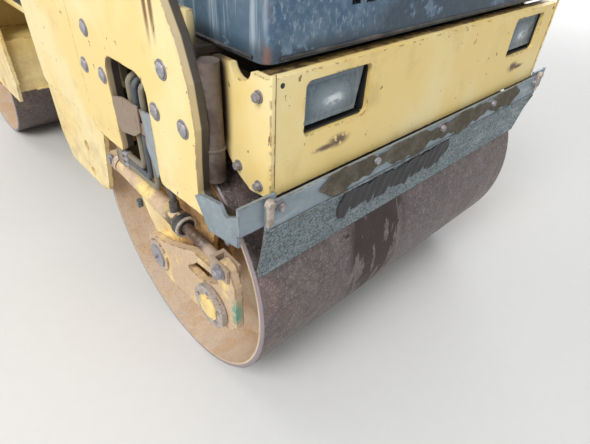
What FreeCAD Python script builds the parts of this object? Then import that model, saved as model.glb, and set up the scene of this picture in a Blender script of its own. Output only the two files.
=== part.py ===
"""Articulated tandem road roller with two steel drums.

Millimetres. The origin lies on the ground midway between the axles, +Z up,
the engine end towards -Y, the machine's left side towards +X.
"""
import FreeCAD, Part
import math
import os
import Sketcher

V = FreeCAD.Vector
os.makedirs("parts", exist_ok=True)
doc = FreeCAD.newDocument("RoadRoller")
sheet = doc.addObject("Spreadsheet::Sheet", "Sizes")


class Size:
    """A length with the sheet expression that it comes from."""

    def __init__(self, value, text):
        self.value = float(value)
        self.text = text

    def _join(self, other, sign, value):
        return Size(value, "(%s %s %s)" % (self.text, sign, words(other)))

    def __add__(self, other):
        return self._join(other, "+", self.value + number(other))

    def __radd__(self, other):
        return Size(number(other) + self.value, "(%s + %s)" % (words(other), self.text))

    def __sub__(self, other):
        return self._join(other, "-", self.value - number(other))

    def __rsub__(self, other):
        return Size(number(other) - self.value, "(%s - %s)" % (words(other), self.text))

    def __mul__(self, other):
        return self._join(other, "*", self.value * number(other))

    def __rmul__(self, other):
        return self._join(other, "*", self.value * number(other))

    def __truediv__(self, other):
        return self._join(other, "/", self.value / number(other))

    def __neg__(self):
        return Size(-self.value, "(-1 * %s)" % self.text)


def number(q):
    return q.value if isinstance(q, Size) else float(q)


def words(q):
    return q.text if isinstance(q, Size) else "%.6g" % q


class Sheet:
    """The driving sizes, one attribute for each alias."""


S = Sheet()
SIZES = [
    # drums and axles
    ("drum_radius", 350), ("drum_width", 1000), ("drum_shell", 15), ("drum_chamfer", 3),
    ("axle_offset", 850), ("web_inset", 120), ("web_thick", 12), ("hub_radius", 75),
    ("hub_length", 50), ("shaft_radius", 40), ("run_gap", 0.05), ("part_gap", 2),
    # frame shell of one module
    ("wall", 12), ("side_room", 15), ("low_room", 6), ("deck_room", 15), ("tub_height", 190),
    ("tub_front", 200), ("bulkhead_at", 390), ("box_depth", 207), ("box_low", 372),
    ("box_height", 188), ("nose_reach", 325), ("nose_half", 453), ("ledge_width", 63),
    ("ledge_below", 55), ("cheek_thick", 15), ("cheek_front", 221), ("cheek_back", 587),
    ("skirt_front", 250), ("skirt_slant", 60), ("skirt_back", 620), ("skirt_low", 330),
    ("skirt_high", 620), ("skirt_cut", 40), ("tie_radius", 14),
    ("tie_forward", 408), ("tie_high", 445), ("tie_low", 359), ("port_half", 66),
    ("port_high", 62),
    # thick side plates
    ("plate_thick", 25), ("plate_high", 920), ("plate_front", 235), ("plate_back", 218),
    ("slot_front", 85), ("slot_back", 75), ("slot_top", 785), ("slot_round", 35),
    ("leg_foot", 576), ("foot_reach", 341), ("foot_short", 36), ("foot_low", 588),
    ("foot_thick", 29), ("edge_round", 12), ("post_radius", 17), ("post_room", 220),
    ("post_low", 640),
    # drum carriers
    ("carrier_thick", 12), ("carrier_inset", 18), ("carrier_half", 190),
    ("carrier_block", 90), ("carrier_high", 610), ("block_drop", 30), ("carrier_waist", 140),
    ("carrier_drop", 135), ("buffer_length", 38), ("buffer_radius", 24),
    ("buffer_circle", 100), ("disc_radius", 150), ("disc_thick", 12),
    # bumper and lamps
    ("bumper_half", 477), ("bumper_thick", 12), ("bumper_low", 650), ("bumper_high", 840),
    ("wing_back", 191), ("lamp_inner", 260), ("lamp_width", 150), ("lamp_low", 737),
    ("lamp_tall", 88), ("lamp_round", 12), ("lamp_deep", 66), ("lamp_wall", 3),
    ("lens_back", 19), ("lens_thick", 6), ("lip_deep", 25), ("lip_thick", 8),
    # scraper
    ("scraper_thick", 6), ("scraper_half", 497), ("scraper_high", 654),
    ("scraper_bend", 600), ("scraper_edge", 482), ("scraper_gap", 3),
    ("flange_wide", 74), ("flange_low", 610), ("flange_tall", 54), ("ear_thick", 6),
    ("ear_reach", 118),
    # spray pipe
    ("spray_radius", 10), ("spray_behind", 110), ("spray_drop", 50), ("spray_half", 440),
    # hood and engine
    ("hood_half", 466), ("hood_front", 312), ("hood_back", 400), ("nose_tall", 210),
    ("hood_tall", 380), ("hood_skin", 4), ("hood_round", 18), ("nose_round", 60),
    ("slot_wide", 22), ("slot_tall", 12), ("slot_pitch", 34), ("slot_rise", 65),
    ("hinge_forward", 10), ("hinge_below", 22), ("hinge_pin", 8), ("hinge_eye", 11),
    ("hinge_inner", 280), ("hinge_wide", 40), ("firewall_half", 440),
    ("firewall_thick", 16), ("firewall_back", 20), ("engine_half", 280),
    ("engine_front", 230), ("engine_long", 530), ("engine_tall", 283),
    # centre joint
    ("joint_high", 400), ("block_radius", 62), ("block_half", 88), ("trunnion_radius", 55),
    ("trunnion_reach", 440), ("housing_radius", 85), ("housing_back", 130),
    ("king_radius", 20), ("ear_plate", 30), ("ear_half", 75), ("clevis_deep", 123),
    ("arm_thick", 30), ("arm_half", 30), ("steer_x", 167), ("steer_y", 32),
    ("anchor_x", 250), ("anchor_y", 400), ("steer_eye", 26), ("steer_pin", 12),
    ("steer_barrel", 28), ("steer_rod", 14), ("steer_barrel_long", 190), ("steer_stroke", 184),
    # edge cutter
    ("cutter_y", 25), ("cutter_z", 305), ("cutter_pin", 18), ("cutter_boss", 50),
    ("cutter_thick", 18), ("cutter_room", 8), ("hub_y", 214), ("hub_z", 330),
    ("hub_disc", 52), ("hub_thick", 12), ("spindle", 20), ("hub_hole", 5.5),
    ("hub_circle", 38), ("rod_y", 260), ("rod_z", 465), ("rod_pin", 10), ("pin_play", 3),
    ("base_y", 190), ("base_z", 500), ("base_pin", 9), ("base_eye", 22), ("lug_radius", 18),
    ("barrel_radius", 21), ("barrel_long", 262), ("cutter_rod", 12), ("gland_radius", 23),
    ("hose_radius", 6.5), ("hose_pitch", 25), ("hose_step", 14), ("clamp_tall", 22),
    ("clamp_plate", 3),
    # operator's place
    ("floor_high", 680), ("floor_half", 450), ("floor_front", 150), ("floor_back", 440),
    ("beam_inner", 170), ("beam_wide", 60), ("beam_tall", 55), ("beam_front", 60),
    ("console_half", 200), ("console_front", 140), ("console_deep", 140),
    ("console_high", 1220), ("wheel_ring", 170), ("wheel_grip", 13), ("wheel_tilt", 25),
    ("column_radius", 22), ("lever_high", 180), ("rail_radius", 15), ("rail_high", 1120),
    ("rail_front", 60), ("rail_back", 400), ("rail_bend", 90), ("rail_inset", 22),
    # tank, seat, roll bar
    ("tank_half", 434), ("tank_front", 468), ("tank_back", 1150), ("tank_step", 1040), ("tank_high", 1030),
    ("tank_tail", 960), ("tank_round", 40), ("tank_slope", 120), ("cap_radius", 60),
    ("cap_tall", 28), ("cap_back", 220),
    ("seat_front", 430), ("seat_deep", 430), ("seat_half", 230), ("seat_thick", 90),
    ("seat_base", 40), ("back_tall", 400), ("back_thick", 80), ("post_side", 60),
    ("post_at", 740), ("post_high", 1230), ("bow_high", 2250), ("bow_radius", 30),
    ("bow_bend", 130), ("bow_pin", 10), ("bow_lug", 8), ("bow_gap", 1),
]
for row, (alias, value) in enumerate(SIZES, start=1):
    sheet.set("A%d" % row, alias)
    sheet.set("B%d" % row, str(value))
    sheet.setAlias("B%d" % row, alias)
    setattr(S, alias, Size(value, "Sizes." + alias))
doc.recompute()


def bind(obj, prop, q):
    obj.setExpression(prop, words(q))


def place(obj, x, y, z, rotation=None):
    if rotation is not None:
        obj.Placement = FreeCAD.Placement(V(0, 0, 0), rotation)
    bind(obj, "Placement.Base.x", x)
    bind(obj, "Placement.Base.y", y)
    bind(obj, "Placement.Base.z", z)


def box(x, y, z):
    """A block between (low, high) pairs."""
    made = doc.addObject("Part::Box", "Block")
    bind(made, "Length", x[1] - x[0])
    bind(made, "Width", y[1] - y[0])
    bind(made, "Height", z[1] - z[0])
    place(made, x[0], y[0], z[0])
    return made


def sides(x, y, z):
    """The same block on the left and on the right."""
    return [box(x, y, z), box((-x[1], -x[0]), y, z)]


ALONG = {
    "x": FreeCAD.Rotation(V(0, 1, 0), 90),
    "y": FreeCAD.Rotation(V(1, 0, 0), -90),
    "z": FreeCAD.Rotation(),
}


def bar(axis, x, y, z, radius):
    """A round bar; the coordinate along its axis is a (low, high) pair."""
    made = doc.addObject("Part::Cylinder", "Bar")
    span = {"x": x, "y": y, "z": z}[axis]
    bind(made, "Radius", radius)
    bind(made, "Height", span[1] - span[0])
    low = [q[0] if isinstance(q, tuple) else q for q in (x, y, z)]
    place(made, low[0], low[1], low[2], ALONG[axis])
    return made


def fuse(items):
    made = doc.addObject("Part::MultiFuse", "Joined")
    made.Shapes = items
    return made


def group(items):
    """Solids that lie flush against each other in one sub-part."""
    made = doc.addObject("Part::Compound", "Group")
    made.Links = items
    return made


def cut(base, tools):
    tool = tools[0] if len(tools) == 1 else fuse(tools)
    made = doc.addObject("Part::Cut", "Cut")
    made.Base = base
    made.Tool = tool
    return made


def mirror(source, normal):
    made = doc.addObject("Part::Mirroring", "Mirror")
    made.Source = source
    made.Base = V(0, 0, 0)
    made.Normal = normal
    return made


ACROSS = V(1, 0, 0)
TO_REAR = V(0, 1, 0)


def loop(body, plane, points):
    """A fully dimensioned closed polygon on one of the body's planes."""
    sketch = body.newObject("Sketcher::SketchObject", "Outline")
    base = [f for f in body.Origin.OriginFeatures if f.Role == plane + "_Plane"][0]
    sketch.AttachmentSupport = (base, [""])
    sketch.MapMode = "FlatFace"
    count = len(points)
    at = [V(number(p[0]), number(p[1]), 0) for p in points]
    for i in range(count):
        sketch.addGeometry(Part.LineSegment(at[i], at[(i + 1) % count]), False)
    rules = [Sketcher.Constraint("Coincident", i, 2, (i + 1) % count, 1) for i in range(count)]
    for i in range(count):
        rules.append(Sketcher.Constraint("DistanceX", -1, 1, i, 1, at[i].x))
        rules.append(Sketcher.Constraint("DistanceY", -1, 1, i, 1, at[i].y))
    sketch.addConstraint(rules)
    for i in range(count):
        for step in (0, 1):
            q = points[i][step]
            if isinstance(q, Size):
                sketch.setExpression("Constraints[%d]" % (count + 2 * i + step), q.text)
    return sketch


def edges_at(shape, wanted):
    """Names of the straight edges whose middle passes the test."""
    names = []
    for i, edge in enumerate(shape.Edges, start=1):
        ends = [v.Point for v in edge.Vertexes]
        if len(ends) == 2 and wanted(ends[0], ends[1]):
            names.append("Edge%d" % i)
    return names


def profile(plane, start, end, points, rounds=None):
    """A plate cut to a polygon; rounds maps corner numbers to radii."""
    body = doc.addObject("PartDesign::Body", "Plate")
    sketch = loop(body, plane, points)
    offset = -end if plane == "XZ" else start
    sketch.setExpression("AttachmentOffset.Base.z", words(offset))
    pad = body.newObject("PartDesign::Pad", "Pad")
    pad.Profile = sketch
    bind(pad, "Length", end - start)
    body.Tip = pad
    if not rounds:
        return body
    doc.recompute()
    keep = {"YZ": (1, 2), "XZ": (0, 2), "XY": (0, 1)}[plane]
    by_radius = {}
    for corner, radius in rounds.items():
        by_radius.setdefault(words(radius), (radius, []))[1].append(corner)
    for radius, corners in by_radius.values():
        spots = [(number(points[c][0]), number(points[c][1])) for c in corners]

        def wanted(a, b):
            if abs(a[keep[0]] - b[keep[0]]) > 1e-4 or abs(a[keep[1]] - b[keep[1]]) > 1e-4:
                return False
            return any(abs(a[keep[0]] - s[0]) < 1e-3 and abs(a[keep[1]] - s[1]) < 1e-3
                       for s in spots)

        before = body.Tip
        fillet = body.newObject("PartDesign::Fillet", "Fillet")
        fillet.Base = (before, edges_at(before.Shape, wanted))
        bind(fillet, "Radius", radius)
        body.Tip = fillet
        doc.recompute()
    return body


def turned(points, y, z):
    """A body turned about an axle along X; points are (x, radius)."""
    body = doc.addObject("PartDesign::Body", "Turned")
    sketch = loop(body, "XY", points)
    spin = body.newObject("PartDesign::Revolution", "Revolution")
    spin.Profile = sketch
    spin.ReferenceAxis = (sketch, ["H_Axis"])
    spin.Angle = 360
    body.Tip = spin
    place(body, 0, y, z)
    return body


def soften(source, radius, wanted):
    """Round the straight edges of a finished solid that pass the test."""
    doc.recompute()
    made = doc.addObject("Part::Fillet", "Softened")
    made.Base = source
    names = edges_at(source.Shape, wanted)
    made.Edges = [(int(n[4:]), number(radius), number(radius)) for n in names]
    return made


def pipe(points, radius, bend):
    """A bent tube's solid: straight runs joined by tangent arcs."""
    at = [V(*[number(c) for c in p]) for p in points]
    edges = []
    last = at[0]
    for i in range(1, len(at) - 1):
        before = (at[i] - at[i - 1]).normalize()
        after = (at[i + 1] - at[i]).normalize()
        turn = before.getAngle(after)
        short = min((at[i] - at[i - 1]).Length, (at[i + 1] - at[i]).Length)
        bow = number(bend) if bend is not None else 0.45 * short / math.tan(turn / 2)
        back = bow * math.tan(turn / 2)
        first = at[i] - before * back
        final = at[i] + after * back
        middle = (after - before).normalize()
        heart = at[i] + middle * (bow / math.cos(turn / 2))
        if (first - last).Length > 1e-6:
            edges.append(Part.LineSegment(last, first).toShape())
        edges.append(Part.Arc(first, heart - middle * bow, final).toShape())
        last = final
    edges.append(Part.LineSegment(last, at[-1]).toShape())
    path = Part.Wire(edges)
    ring = Part.Wire([Part.makeCircle(number(radius), at[0], (at[1] - at[0]).normalize())])
    solid = path.makePipeShell([ring], True, False)
    area = math.pi * number(radius) ** 2
    if abs(solid.Volume - area * path.Length) > 0.01 * solid.Volume:
        raise ValueError("a bent tube came out with the wrong volume")
    return solid


def shape(solid):
    """A document object for a solid made by Part's own functions."""
    made = doc.addObject("Part::Feature", "Solid")
    made.Shape = solid
    return made


NODES = []


def node(name, obj):
    """Name a finished sub-part; its label names its file."""
    obj.Label = name
    NODES.append(obj)
    return obj


# The front module stands about its axle; fore() turns a distance behind that
# axle into the machine's own Y. The rear module mirrors it about the joint.
def fore(q):
    return q - S.axle_offset


half_drum = S.drum_width / 2
tub_out = half_drum + S.side_room
tub_in = tub_out - S.wall
plate_out = tub_out + S.plate_thick
skirt_in = half_drum + S.low_room
skirt_out = skirt_in + S.wall
deck_low = S.drum_radius * 2 + S.deck_room
deck_high = deck_low + S.wall
tub_high = deck_low + S.tub_height
box_high = S.box_low + S.box_height
box_back = S.bulkhead_at + S.box_depth
bulkhead_back = S.bulkhead_at + S.wall
bumper_face = S.nose_reach + S.bumper_thick
foot_high = S.foot_low + S.foot_thick
ledge_high = tub_high - S.ledge_below
hood_low = ledge_high
hood_high = hood_low + S.hood_tall
hood_nose = hood_low + S.nose_tall


# Frame shared by both modules, of solids that lie flush against each other.
def tub():
    """Deck, tub walls, ledges and the nose that carries the bumper."""
    items = [box((-tub_out, tub_out), (fore(-S.tub_front), fore(bulkhead_back + S.firewall_back)),
                 (deck_low, deck_high)),
             box((-S.nose_half, S.nose_half), (fore(-S.nose_reach), fore(-S.tub_front)),
                 (deck_low, deck_high))]
    items += sides((tub_in, tub_out), (fore(-S.tub_front), fore(bulkhead_back)),
                   (deck_high, tub_high))
    items += sides((tub_in - S.ledge_width, tub_in),
                   (fore(-S.wing_back + S.part_gap), fore(bulkhead_back)),
                   (ledge_high - S.wall, ledge_high))
    items += sides((S.nose_half, S.bumper_half - S.bumper_thick),
                   (fore(-S.nose_reach), fore(-S.tub_front)), (deck_low, deck_high + 70))
    return cut(fuse(items), sides((tub_in, tub_out), (fore(-S.port_half), fore(S.port_half)),
                                  (deck_high, deck_high + S.port_high)))


def transom(inside=()):
    """Bulkhead and box beam across the module."""
    plates = [(S.bulkhead_at, bulkhead_back, S.box_low, deck_low),
              (S.bulkhead_at, box_back, S.box_low, S.box_low + S.wall),
              (S.bulkhead_at, box_back, box_high - S.wall, box_high),
              (box_back - S.wall, box_back, S.box_low, box_high)]
    return fuse([box((-skirt_in, skirt_in), (fore(y0), fore(y1)), (z0, z1))
                 for y0, y1, z0, z1 in plates] + list(inside))


def cheeks():
    """Outer cheeks and the skirts below them, with their tie-down holes."""
    cheek = [(fore(S.cheek_front), S.leg_foot), (fore(S.cheek_back), S.leg_foot),
             (fore(S.cheek_back), tub_high), (fore(S.cheek_front), tub_high)]
    slant = S.skirt_front + S.skirt_slant
    skirt = [(fore(S.skirt_front), S.skirt_high), (fore(S.skirt_front), S.leg_foot - S.skirt_cut),
             (fore(slant), S.skirt_low + S.skirt_cut * 0.4),
             (fore(slant + S.skirt_cut), S.skirt_low),
             (fore(S.skirt_back - S.skirt_cut), S.skirt_low),
             (fore(S.skirt_back), S.skirt_low + S.skirt_cut * 2), (fore(S.skirt_back), S.skirt_high)]
    pair = fuse([profile("YZ", tub_out, tub_out + S.cheek_thick, cheek,
                         {1: S.edge_round * 2, 2: S.edge_round * 2}),
                 profile("YZ", skirt_in, skirt_out, skirt, {6: S.edge_round})])
    left = cut(pair, [bar("x", (skirt_in, skirt_out), fore(S.tie_forward), level, S.tie_radius)
                      for level in (S.tie_high, S.tie_low)])
    return [left, mirror(left, ACROSS)]


bore = S.trunnion_radius + S.run_gap
firewall_face = bulkhead_back + S.firewall_back
hinge_z = hood_high - S.hinge_below
hinge_y = fore(S.hood_back - S.hinge_forward)
firewall = [box((-S.firewall_half, S.firewall_half),
                (fore(firewall_face - S.firewall_thick), fore(firewall_face)),
                (deck_high, hinge_z - 13))]
for x in ((S.hinge_inner, S.hinge_inner + S.hinge_wide),
          (-S.hinge_inner - S.hinge_wide, -S.hinge_inner)):
    firewall += [bar("x", x, hinge_y, hinge_z, S.hinge_eye),
                 box(x, (hinge_y, fore(firewall_face)),
                     (hinge_z - S.hinge_eye - 6, hinge_z - 3))]
for low in (S.hinge_inner + S.hinge_wide, -S.hinge_inner - S.hinge_wide * 2):
    firewall.append(bar("x", (low, low + S.hinge_wide), hinge_y, hinge_z, S.hinge_pin))
# The joint's housing runs through the box beam and out behind it.
housing = [bar("y", 0, (fore(start), end), S.joint_high, S.housing_radius)
           for start, end in ((bulkhead_back, fore(box_back)), (box_back, -S.housing_back))]
bored = [bar("y", 0, (fore(start), end), S.joint_high, bore)
         for start, end in ((bulkhead_back + 1, fore(box_back)), (box_back, -S.housing_back))]
node("front_frame", group([tub(), cut(transom([housing[0]]), [bored[0]]),
                           cut(housing[1], [bored[1]]), fuse(firewall)] + cheeks()))

ear_top = S.joint_high + S.block_half + S.part_gap
ear_low = S.joint_high - S.block_half - S.part_gap
clevis_front = -fore(box_back)
clevis = [box((-S.ear_half, S.ear_half), (clevis_front - S.clevis_deep, clevis_front),
              (ear_low - S.ear_plate, ear_top + S.ear_plate))]
for z in ((ear_top, ear_top + S.ear_plate), (ear_low - S.ear_plate, ear_low)):
    clevis += [box((-S.ear_half, S.ear_half), (0, clevis_front), z), bar("z", 0, 0, z, S.ear_half)]
# Anchor of the steering cylinder under the transom box.
steer_z = S.joint_high - S.arm_thick * 3.4
anchor_pad = fuse([
    box((-S.anchor_x - S.steer_eye, -S.anchor_x + S.steer_eye),
        (S.anchor_y - S.steer_eye, S.anchor_y + S.steer_eye),
        (steer_z + S.steer_barrel + S.part_gap, S.box_low)),
    bar("z", -S.anchor_x, S.anchor_y,
        (steer_z + S.arm_thick / 2 + S.run_gap * 6, S.box_low), S.steer_pin * 1.5),
    bar("z", -S.anchor_x, S.anchor_y, (steer_z - S.arm_thick / 2, S.box_low), S.steer_pin)])
rear_items = [mirror(piece, TO_REAR) for piece in [tub(), transom()] + cheeks()]
rear_items += sides((S.beam_inner, S.beam_inner + S.beam_wide),
                    (-S.beam_front, -fore(bulkhead_back)),
                    (S.floor_high - S.beam_tall, S.floor_high))
node("rear_frame", group(rear_items + [
    cut(fuse(clevis), [bar("z", 0, 0, (ear_low - S.ear_plate, ear_top + S.ear_plate),
                           S.king_radius + S.run_gap)]), anchor_pad]))

# Thick side plates with the hose slot between two legs.
rise = S.plate_high - foot_high
foot_end = -S.foot_reach + S.foot_short
carrier_out = half_drum - S.carrier_inset
plate_outline = [
    (fore(S.plate_front * -0.757), S.plate_high),
    (fore(S.plate_front * -0.872), S.plate_high - rise * 0.15),
    (fore(S.plate_front * -0.965), S.plate_high - rise * 0.35),
    (fore(-S.plate_front), S.plate_high - rise * 0.575),
    (fore(S.plate_front * -0.965), S.plate_high - rise * 0.8),
    (fore(S.plate_front * -0.95), foot_high),
    (fore(foot_end), foot_high),
    (fore(foot_end), S.foot_low),
    (fore(-S.slot_front), S.leg_foot),
    (fore(-S.slot_front), S.slot_top),
    (fore(S.slot_back), S.slot_top),
    (fore(S.slot_back), S.leg_foot),
    (fore(S.plate_back), S.leg_foot),
    (fore(S.plate_back), S.plate_high)]
plate = profile("YZ", -plate_out, -tub_out, plate_outline,
                {5: S.edge_round, 7: S.edge_round, 8: S.edge_round, 9: S.slot_round,
                 10: S.slot_round, 11: S.edge_round, 12: S.edge_round * 2})
plate = fuse([plate, bar("z", -tub_out + S.post_radius - 1, fore(-S.post_room),
                         (S.post_low, S.bumper_high), S.post_radius)])
plates = fuse([plate, mirror(plate, ACROSS)])
node("front_side_plates", plates)
node("rear_side_plates", mirror(plates, TO_REAR))


# Drums: shell, two webs and two hub sleeves turned in one piece.
def drum(y):
    end = half_drum
    web = half_drum - S.web_inset
    sleeve_out = web + S.hub_length * 0.4
    sleeve_in = sleeve_out - S.hub_length
    inner = S.drum_radius - S.drum_shell
    hole = S.shaft_radius + S.run_gap
    right = [(end - S.drum_chamfer, S.drum_radius), (end, S.drum_radius - S.drum_chamfer),
             (end, inner), (web, inner), (web, S.hub_radius), (sleeve_out, S.hub_radius),
             (sleeve_out, hole), (sleeve_in, hole), (sleeve_in, S.hub_radius),
             (web - S.web_thick, S.hub_radius), (web - S.web_thick, inner)]
    left = [(-x, r) for x, r in reversed(right)]
    return turned(right + left, y, S.drum_radius)


node("front_drum", drum(-S.axle_offset))
node("rear_drum", drum(S.axle_offset))

# Carriers reach from the plate legs into the drum ends.
carrier_in = carrier_out - S.carrier_thick
axle_z = S.drum_radius
carrier_outline = [
    (fore(-S.carrier_half), S.carrier_high), (fore(-S.carrier_half), S.carrier_high - 50),
    (fore(-S.carrier_waist), axle_z), (fore(S.carrier_waist * -0.7), axle_z - S.carrier_drop * 0.7),
    (fore(0 * S.carrier_drop), axle_z - S.carrier_drop),
    (fore(S.carrier_waist * 0.7), axle_z - S.carrier_drop * 0.7), (fore(S.carrier_waist), axle_z),
    (fore(S.carrier_half), S.carrier_high - 50), (fore(S.carrier_half), S.carrier_high)]


def carrier():
    """A web plate, with the blocks that space it from the side plate's legs."""
    items = [profile("YZ", -carrier_out, -carrier_in, carrier_outline,
                     {2: S.edge_round * 4, 3: S.edge_round * 3, 4: S.edge_round * 3,
                      5: S.edge_round * 3, 6: S.edge_round * 4})]
    for low in (-S.carrier_half, S.carrier_half - S.carrier_block):
        items.append(box((-tub_out, -carrier_out), (fore(low), fore(low + S.carrier_block)),
                         (S.carrier_high - S.block_drop, S.carrier_high)))
    return group(items)


def buffers():
    items = []
    for i in range(6):
        angle = math.radians(30 + 60 * i)
        items.append(bar("x", (-carrier_in, -carrier_in + S.buffer_length),
                         fore(S.buffer_circle * math.cos(angle)),
                         axle_z + S.buffer_circle * math.sin(angle), S.buffer_radius))
    return fuse(items)


disc_face = -carrier_in + S.buffer_length
stub_end = half_drum - S.web_inset + S.hub_length * 0.4 - S.hub_length


def stub():
    return fuse([bar("x", (disc_face, disc_face + S.disc_thick), fore(0 * S.wall), axle_z,
                     S.disc_radius),
                 bar("x", (disc_face, -stub_end), fore(0 * S.wall), axle_z, S.shaft_radius)])


for name, right in (("drum_carriers", group([carrier(), stub()])), ("drum_buffers", buffers())):
    both = group([right, mirror(right, ACROSS)])
    node("front_" + name, both)
    node("rear_" + name, mirror(both, TO_REAR))


# Bumper with two lamp windows, side wings and a rolled upper lip.
def bumper():
    face = profile("XZ", fore(-bumper_face), fore(-S.nose_reach),
                   [(-S.bumper_half, S.bumper_low), (S.bumper_half, S.bumper_low),
                    (S.bumper_half, S.bumper_high), (-S.bumper_half, S.bumper_high)])
    back = -S.wing_back
    deep = S.nose_reach - S.wing_back
    tall = S.bumper_high - S.bumper_low
    wing_outline = [
        (fore(-S.nose_reach), S.bumper_low - tall * 0.02),
        (fore(back - deep * 0.71), S.bumper_low - tall * 0.05),
        (fore(back - deep * 0.43), S.bumper_low + tall * 0.06),
        (fore(back - deep * 0.15), S.bumper_low + tall * 0.27),
        (fore(back - deep * 0.04), S.bumper_low + tall * 0.62),
        (fore(back), S.bumper_high - tall * 0.14),
        (fore(back), S.bumper_high), (fore(-S.nose_reach), S.bumper_high)]
    wing = profile("YZ", -S.bumper_half, -S.bumper_half + S.bumper_thick, wing_outline,
                   {1: S.edge_round, 2: S.edge_round * 2, 3: S.edge_round * 2,
                    5: S.edge_round * 1.5, 6: S.edge_round})
    notch = bar("x", (-S.bumper_half, -S.bumper_half + S.bumper_thick), fore(back - deep * 0.59),
                S.bumper_high + 6, S.plate_thick)
    wing = cut(wing, [notch])
    lip = box((-S.bumper_half + S.bumper_thick, S.bumper_half - S.bumper_thick),
              (fore(-S.nose_reach), fore(-S.nose_reach + S.lip_deep)),
              (S.bumper_high - S.lip_thick, S.bumper_high))
    windows = []
    for low in (S.lamp_inner, -S.lamp_inner - S.lamp_width):
        windows.append(profile("XZ", fore(-bumper_face), fore(-S.nose_reach),
                               [(low, S.lamp_low), (low + S.lamp_width, S.lamp_low),
                                (low + S.lamp_width, S.lamp_low + S.lamp_tall),
                                (low, S.lamp_low + S.lamp_tall)],
                               {0: S.lamp_round, 1: S.lamp_round, 2: S.lamp_round,
                                3: S.lamp_round}))
    face = cut(face, windows)
    return fuse([face, wing, mirror(wing, ACROSS), lip])


def lamp_boxes():
    items = []
    inset = S.part_gap / 2
    for low in (S.lamp_inner, -S.lamp_inner - S.lamp_width):
        high = low + S.lamp_width
        top = S.lamp_low + S.lamp_tall
        corners = [(low + inset, S.lamp_low + inset), (high - inset, S.lamp_low + inset),
                   (high - inset, top - inset), (low + inset, top - inset)]
        rounds = {0: S.lamp_round, 1: S.lamp_round, 2: S.lamp_round, 3: S.lamp_round}
        outer = profile("XZ", fore(-bumper_face + S.lip_thick), fore(-bumper_face + S.lamp_deep),
                        corners, rounds)
        rim = box((low - S.lip_thick, high + S.lip_thick),
                  (fore(-S.nose_reach), fore(-S.nose_reach + S.lamp_wall)),
                  (S.lamp_low - S.lip_thick, top + S.lip_thick - 2))
        pocket = box((low + inset + S.lamp_wall, high - inset - S.lamp_wall),
                     (fore(-bumper_face), fore(-bumper_face + S.lamp_deep - S.lamp_wall)),
                     (S.lamp_low + inset + S.lamp_wall, top - inset - S.lamp_wall))
        items.append(cut(fuse([outer, rim]), [pocket]))
    return fuse(items)


def lenses():
    items = []
    inset = S.part_gap / 2 + S.lamp_wall
    for low in (S.lamp_inner, -S.lamp_inner - S.lamp_width):
        items.append(box((low + inset, low + S.lamp_width - inset),
                         (fore(-S.nose_reach + S.lens_back - S.lens_thick),
                          fore(-S.nose_reach + S.lens_back)),
                         (S.lamp_low + inset, S.lamp_low + S.lamp_tall - inset)))
    return fuse(items)


for front_name, rear_name, make in (("front_bumper", "rear_bumper", bumper),
                                    ("headlight_housings", "rear_lamp_housings", lamp_boxes),
                                    ("headlight_lenses", "rear_lamp_lenses", lenses)):
    piece = make()
    node(front_name, piece)
    node(rear_name, mirror(piece, TO_REAR))


# Scraper blade across the drum and the angle brackets at its ends.
def scraper():
    face = S.foot_reach + S.scraper_thick * 2
    back = S.foot_reach + S.scraper_thick
    drop = S.scraper_edge - S.drum_radius
    reach = S.drum_radius + S.scraper_gap
    touch = Size(math.sqrt(reach.value ** 2 - drop.value ** 2),
                 "sqrt(%s * %s - %s * %s)" % (reach.text, reach.text, drop.text, drop.text))
    outline = [(fore(-face), S.scraper_high), (fore(-back), S.scraper_high),
               (fore(-back), S.scraper_bend + 1), (fore(-touch), S.scraper_edge),
               (fore(-touch - S.scraper_thick), S.scraper_edge - 1),
               (fore(-face), S.scraper_bend)]
    return profile("YZ", -S.scraper_half, S.scraper_half, outline)


def scraper_brackets():
    flange_out = plate_out + S.ear_thick
    flange = box((-flange_out, -flange_out + S.flange_wide),
                 (fore(-S.foot_reach - S.scraper_thick), fore(-S.foot_reach)),
                 (S.flange_low, S.flange_low + S.flange_tall))
    top = S.flange_low + S.flange_tall
    ear = profile("YZ", -flange_out, -plate_out,
                  [(fore(-S.foot_reach), S.flange_low - S.flange_tall * 0.45),
                   (fore(-S.foot_reach + S.ear_reach * 0.7), S.flange_low - S.flange_tall * 0.75),
                   (fore(-S.foot_reach + S.ear_reach), top - S.flange_tall * 0.72),
                   (fore(-S.foot_reach + S.ear_reach * 0.84), top - S.flange_tall * 0.5),
                   (fore(-S.foot_reach + S.ear_reach * 0.37), top - S.flange_tall * 0.28),
                   (fore(-S.foot_reach + S.ear_reach * 0.26), top - S.flange_tall * 0.63),
                   (fore(-S.foot_reach), top - S.flange_tall * 0.3)])
    right = fuse([flange, ear])
    return fuse([right, mirror(right, ACROSS)])


def spray():
    y = fore(-S.nose_reach + S.spray_behind)
    spray_high = deck_low - S.spray_drop
    items = [bar("x", (-S.spray_half, S.spray_half), y, spray_high, S.spray_radius)]
    for share in (-0.8, 0, 0.8):
        x = S.spray_half * share
        items.append(box((x - 10, x + 10), (y - 4, y + 4), (spray_high, deck_low)))
    for i in range(5):
        x = S.spray_half * (i - 2) * 0.44
        items.append(bar("z", x, y, (spray_high - S.spray_radius * 1.8, spray_high),
                         S.spray_radius * 0.7))
    return fuse(items)


for name, make in (("scraper", scraper), ("scraper_brackets", scraper_brackets),
                   ("spray_pipe", spray)):
    piece = make()
    node("front_" + name, piece)
    node("rear_" + name, mirror(piece, TO_REAR))


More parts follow.
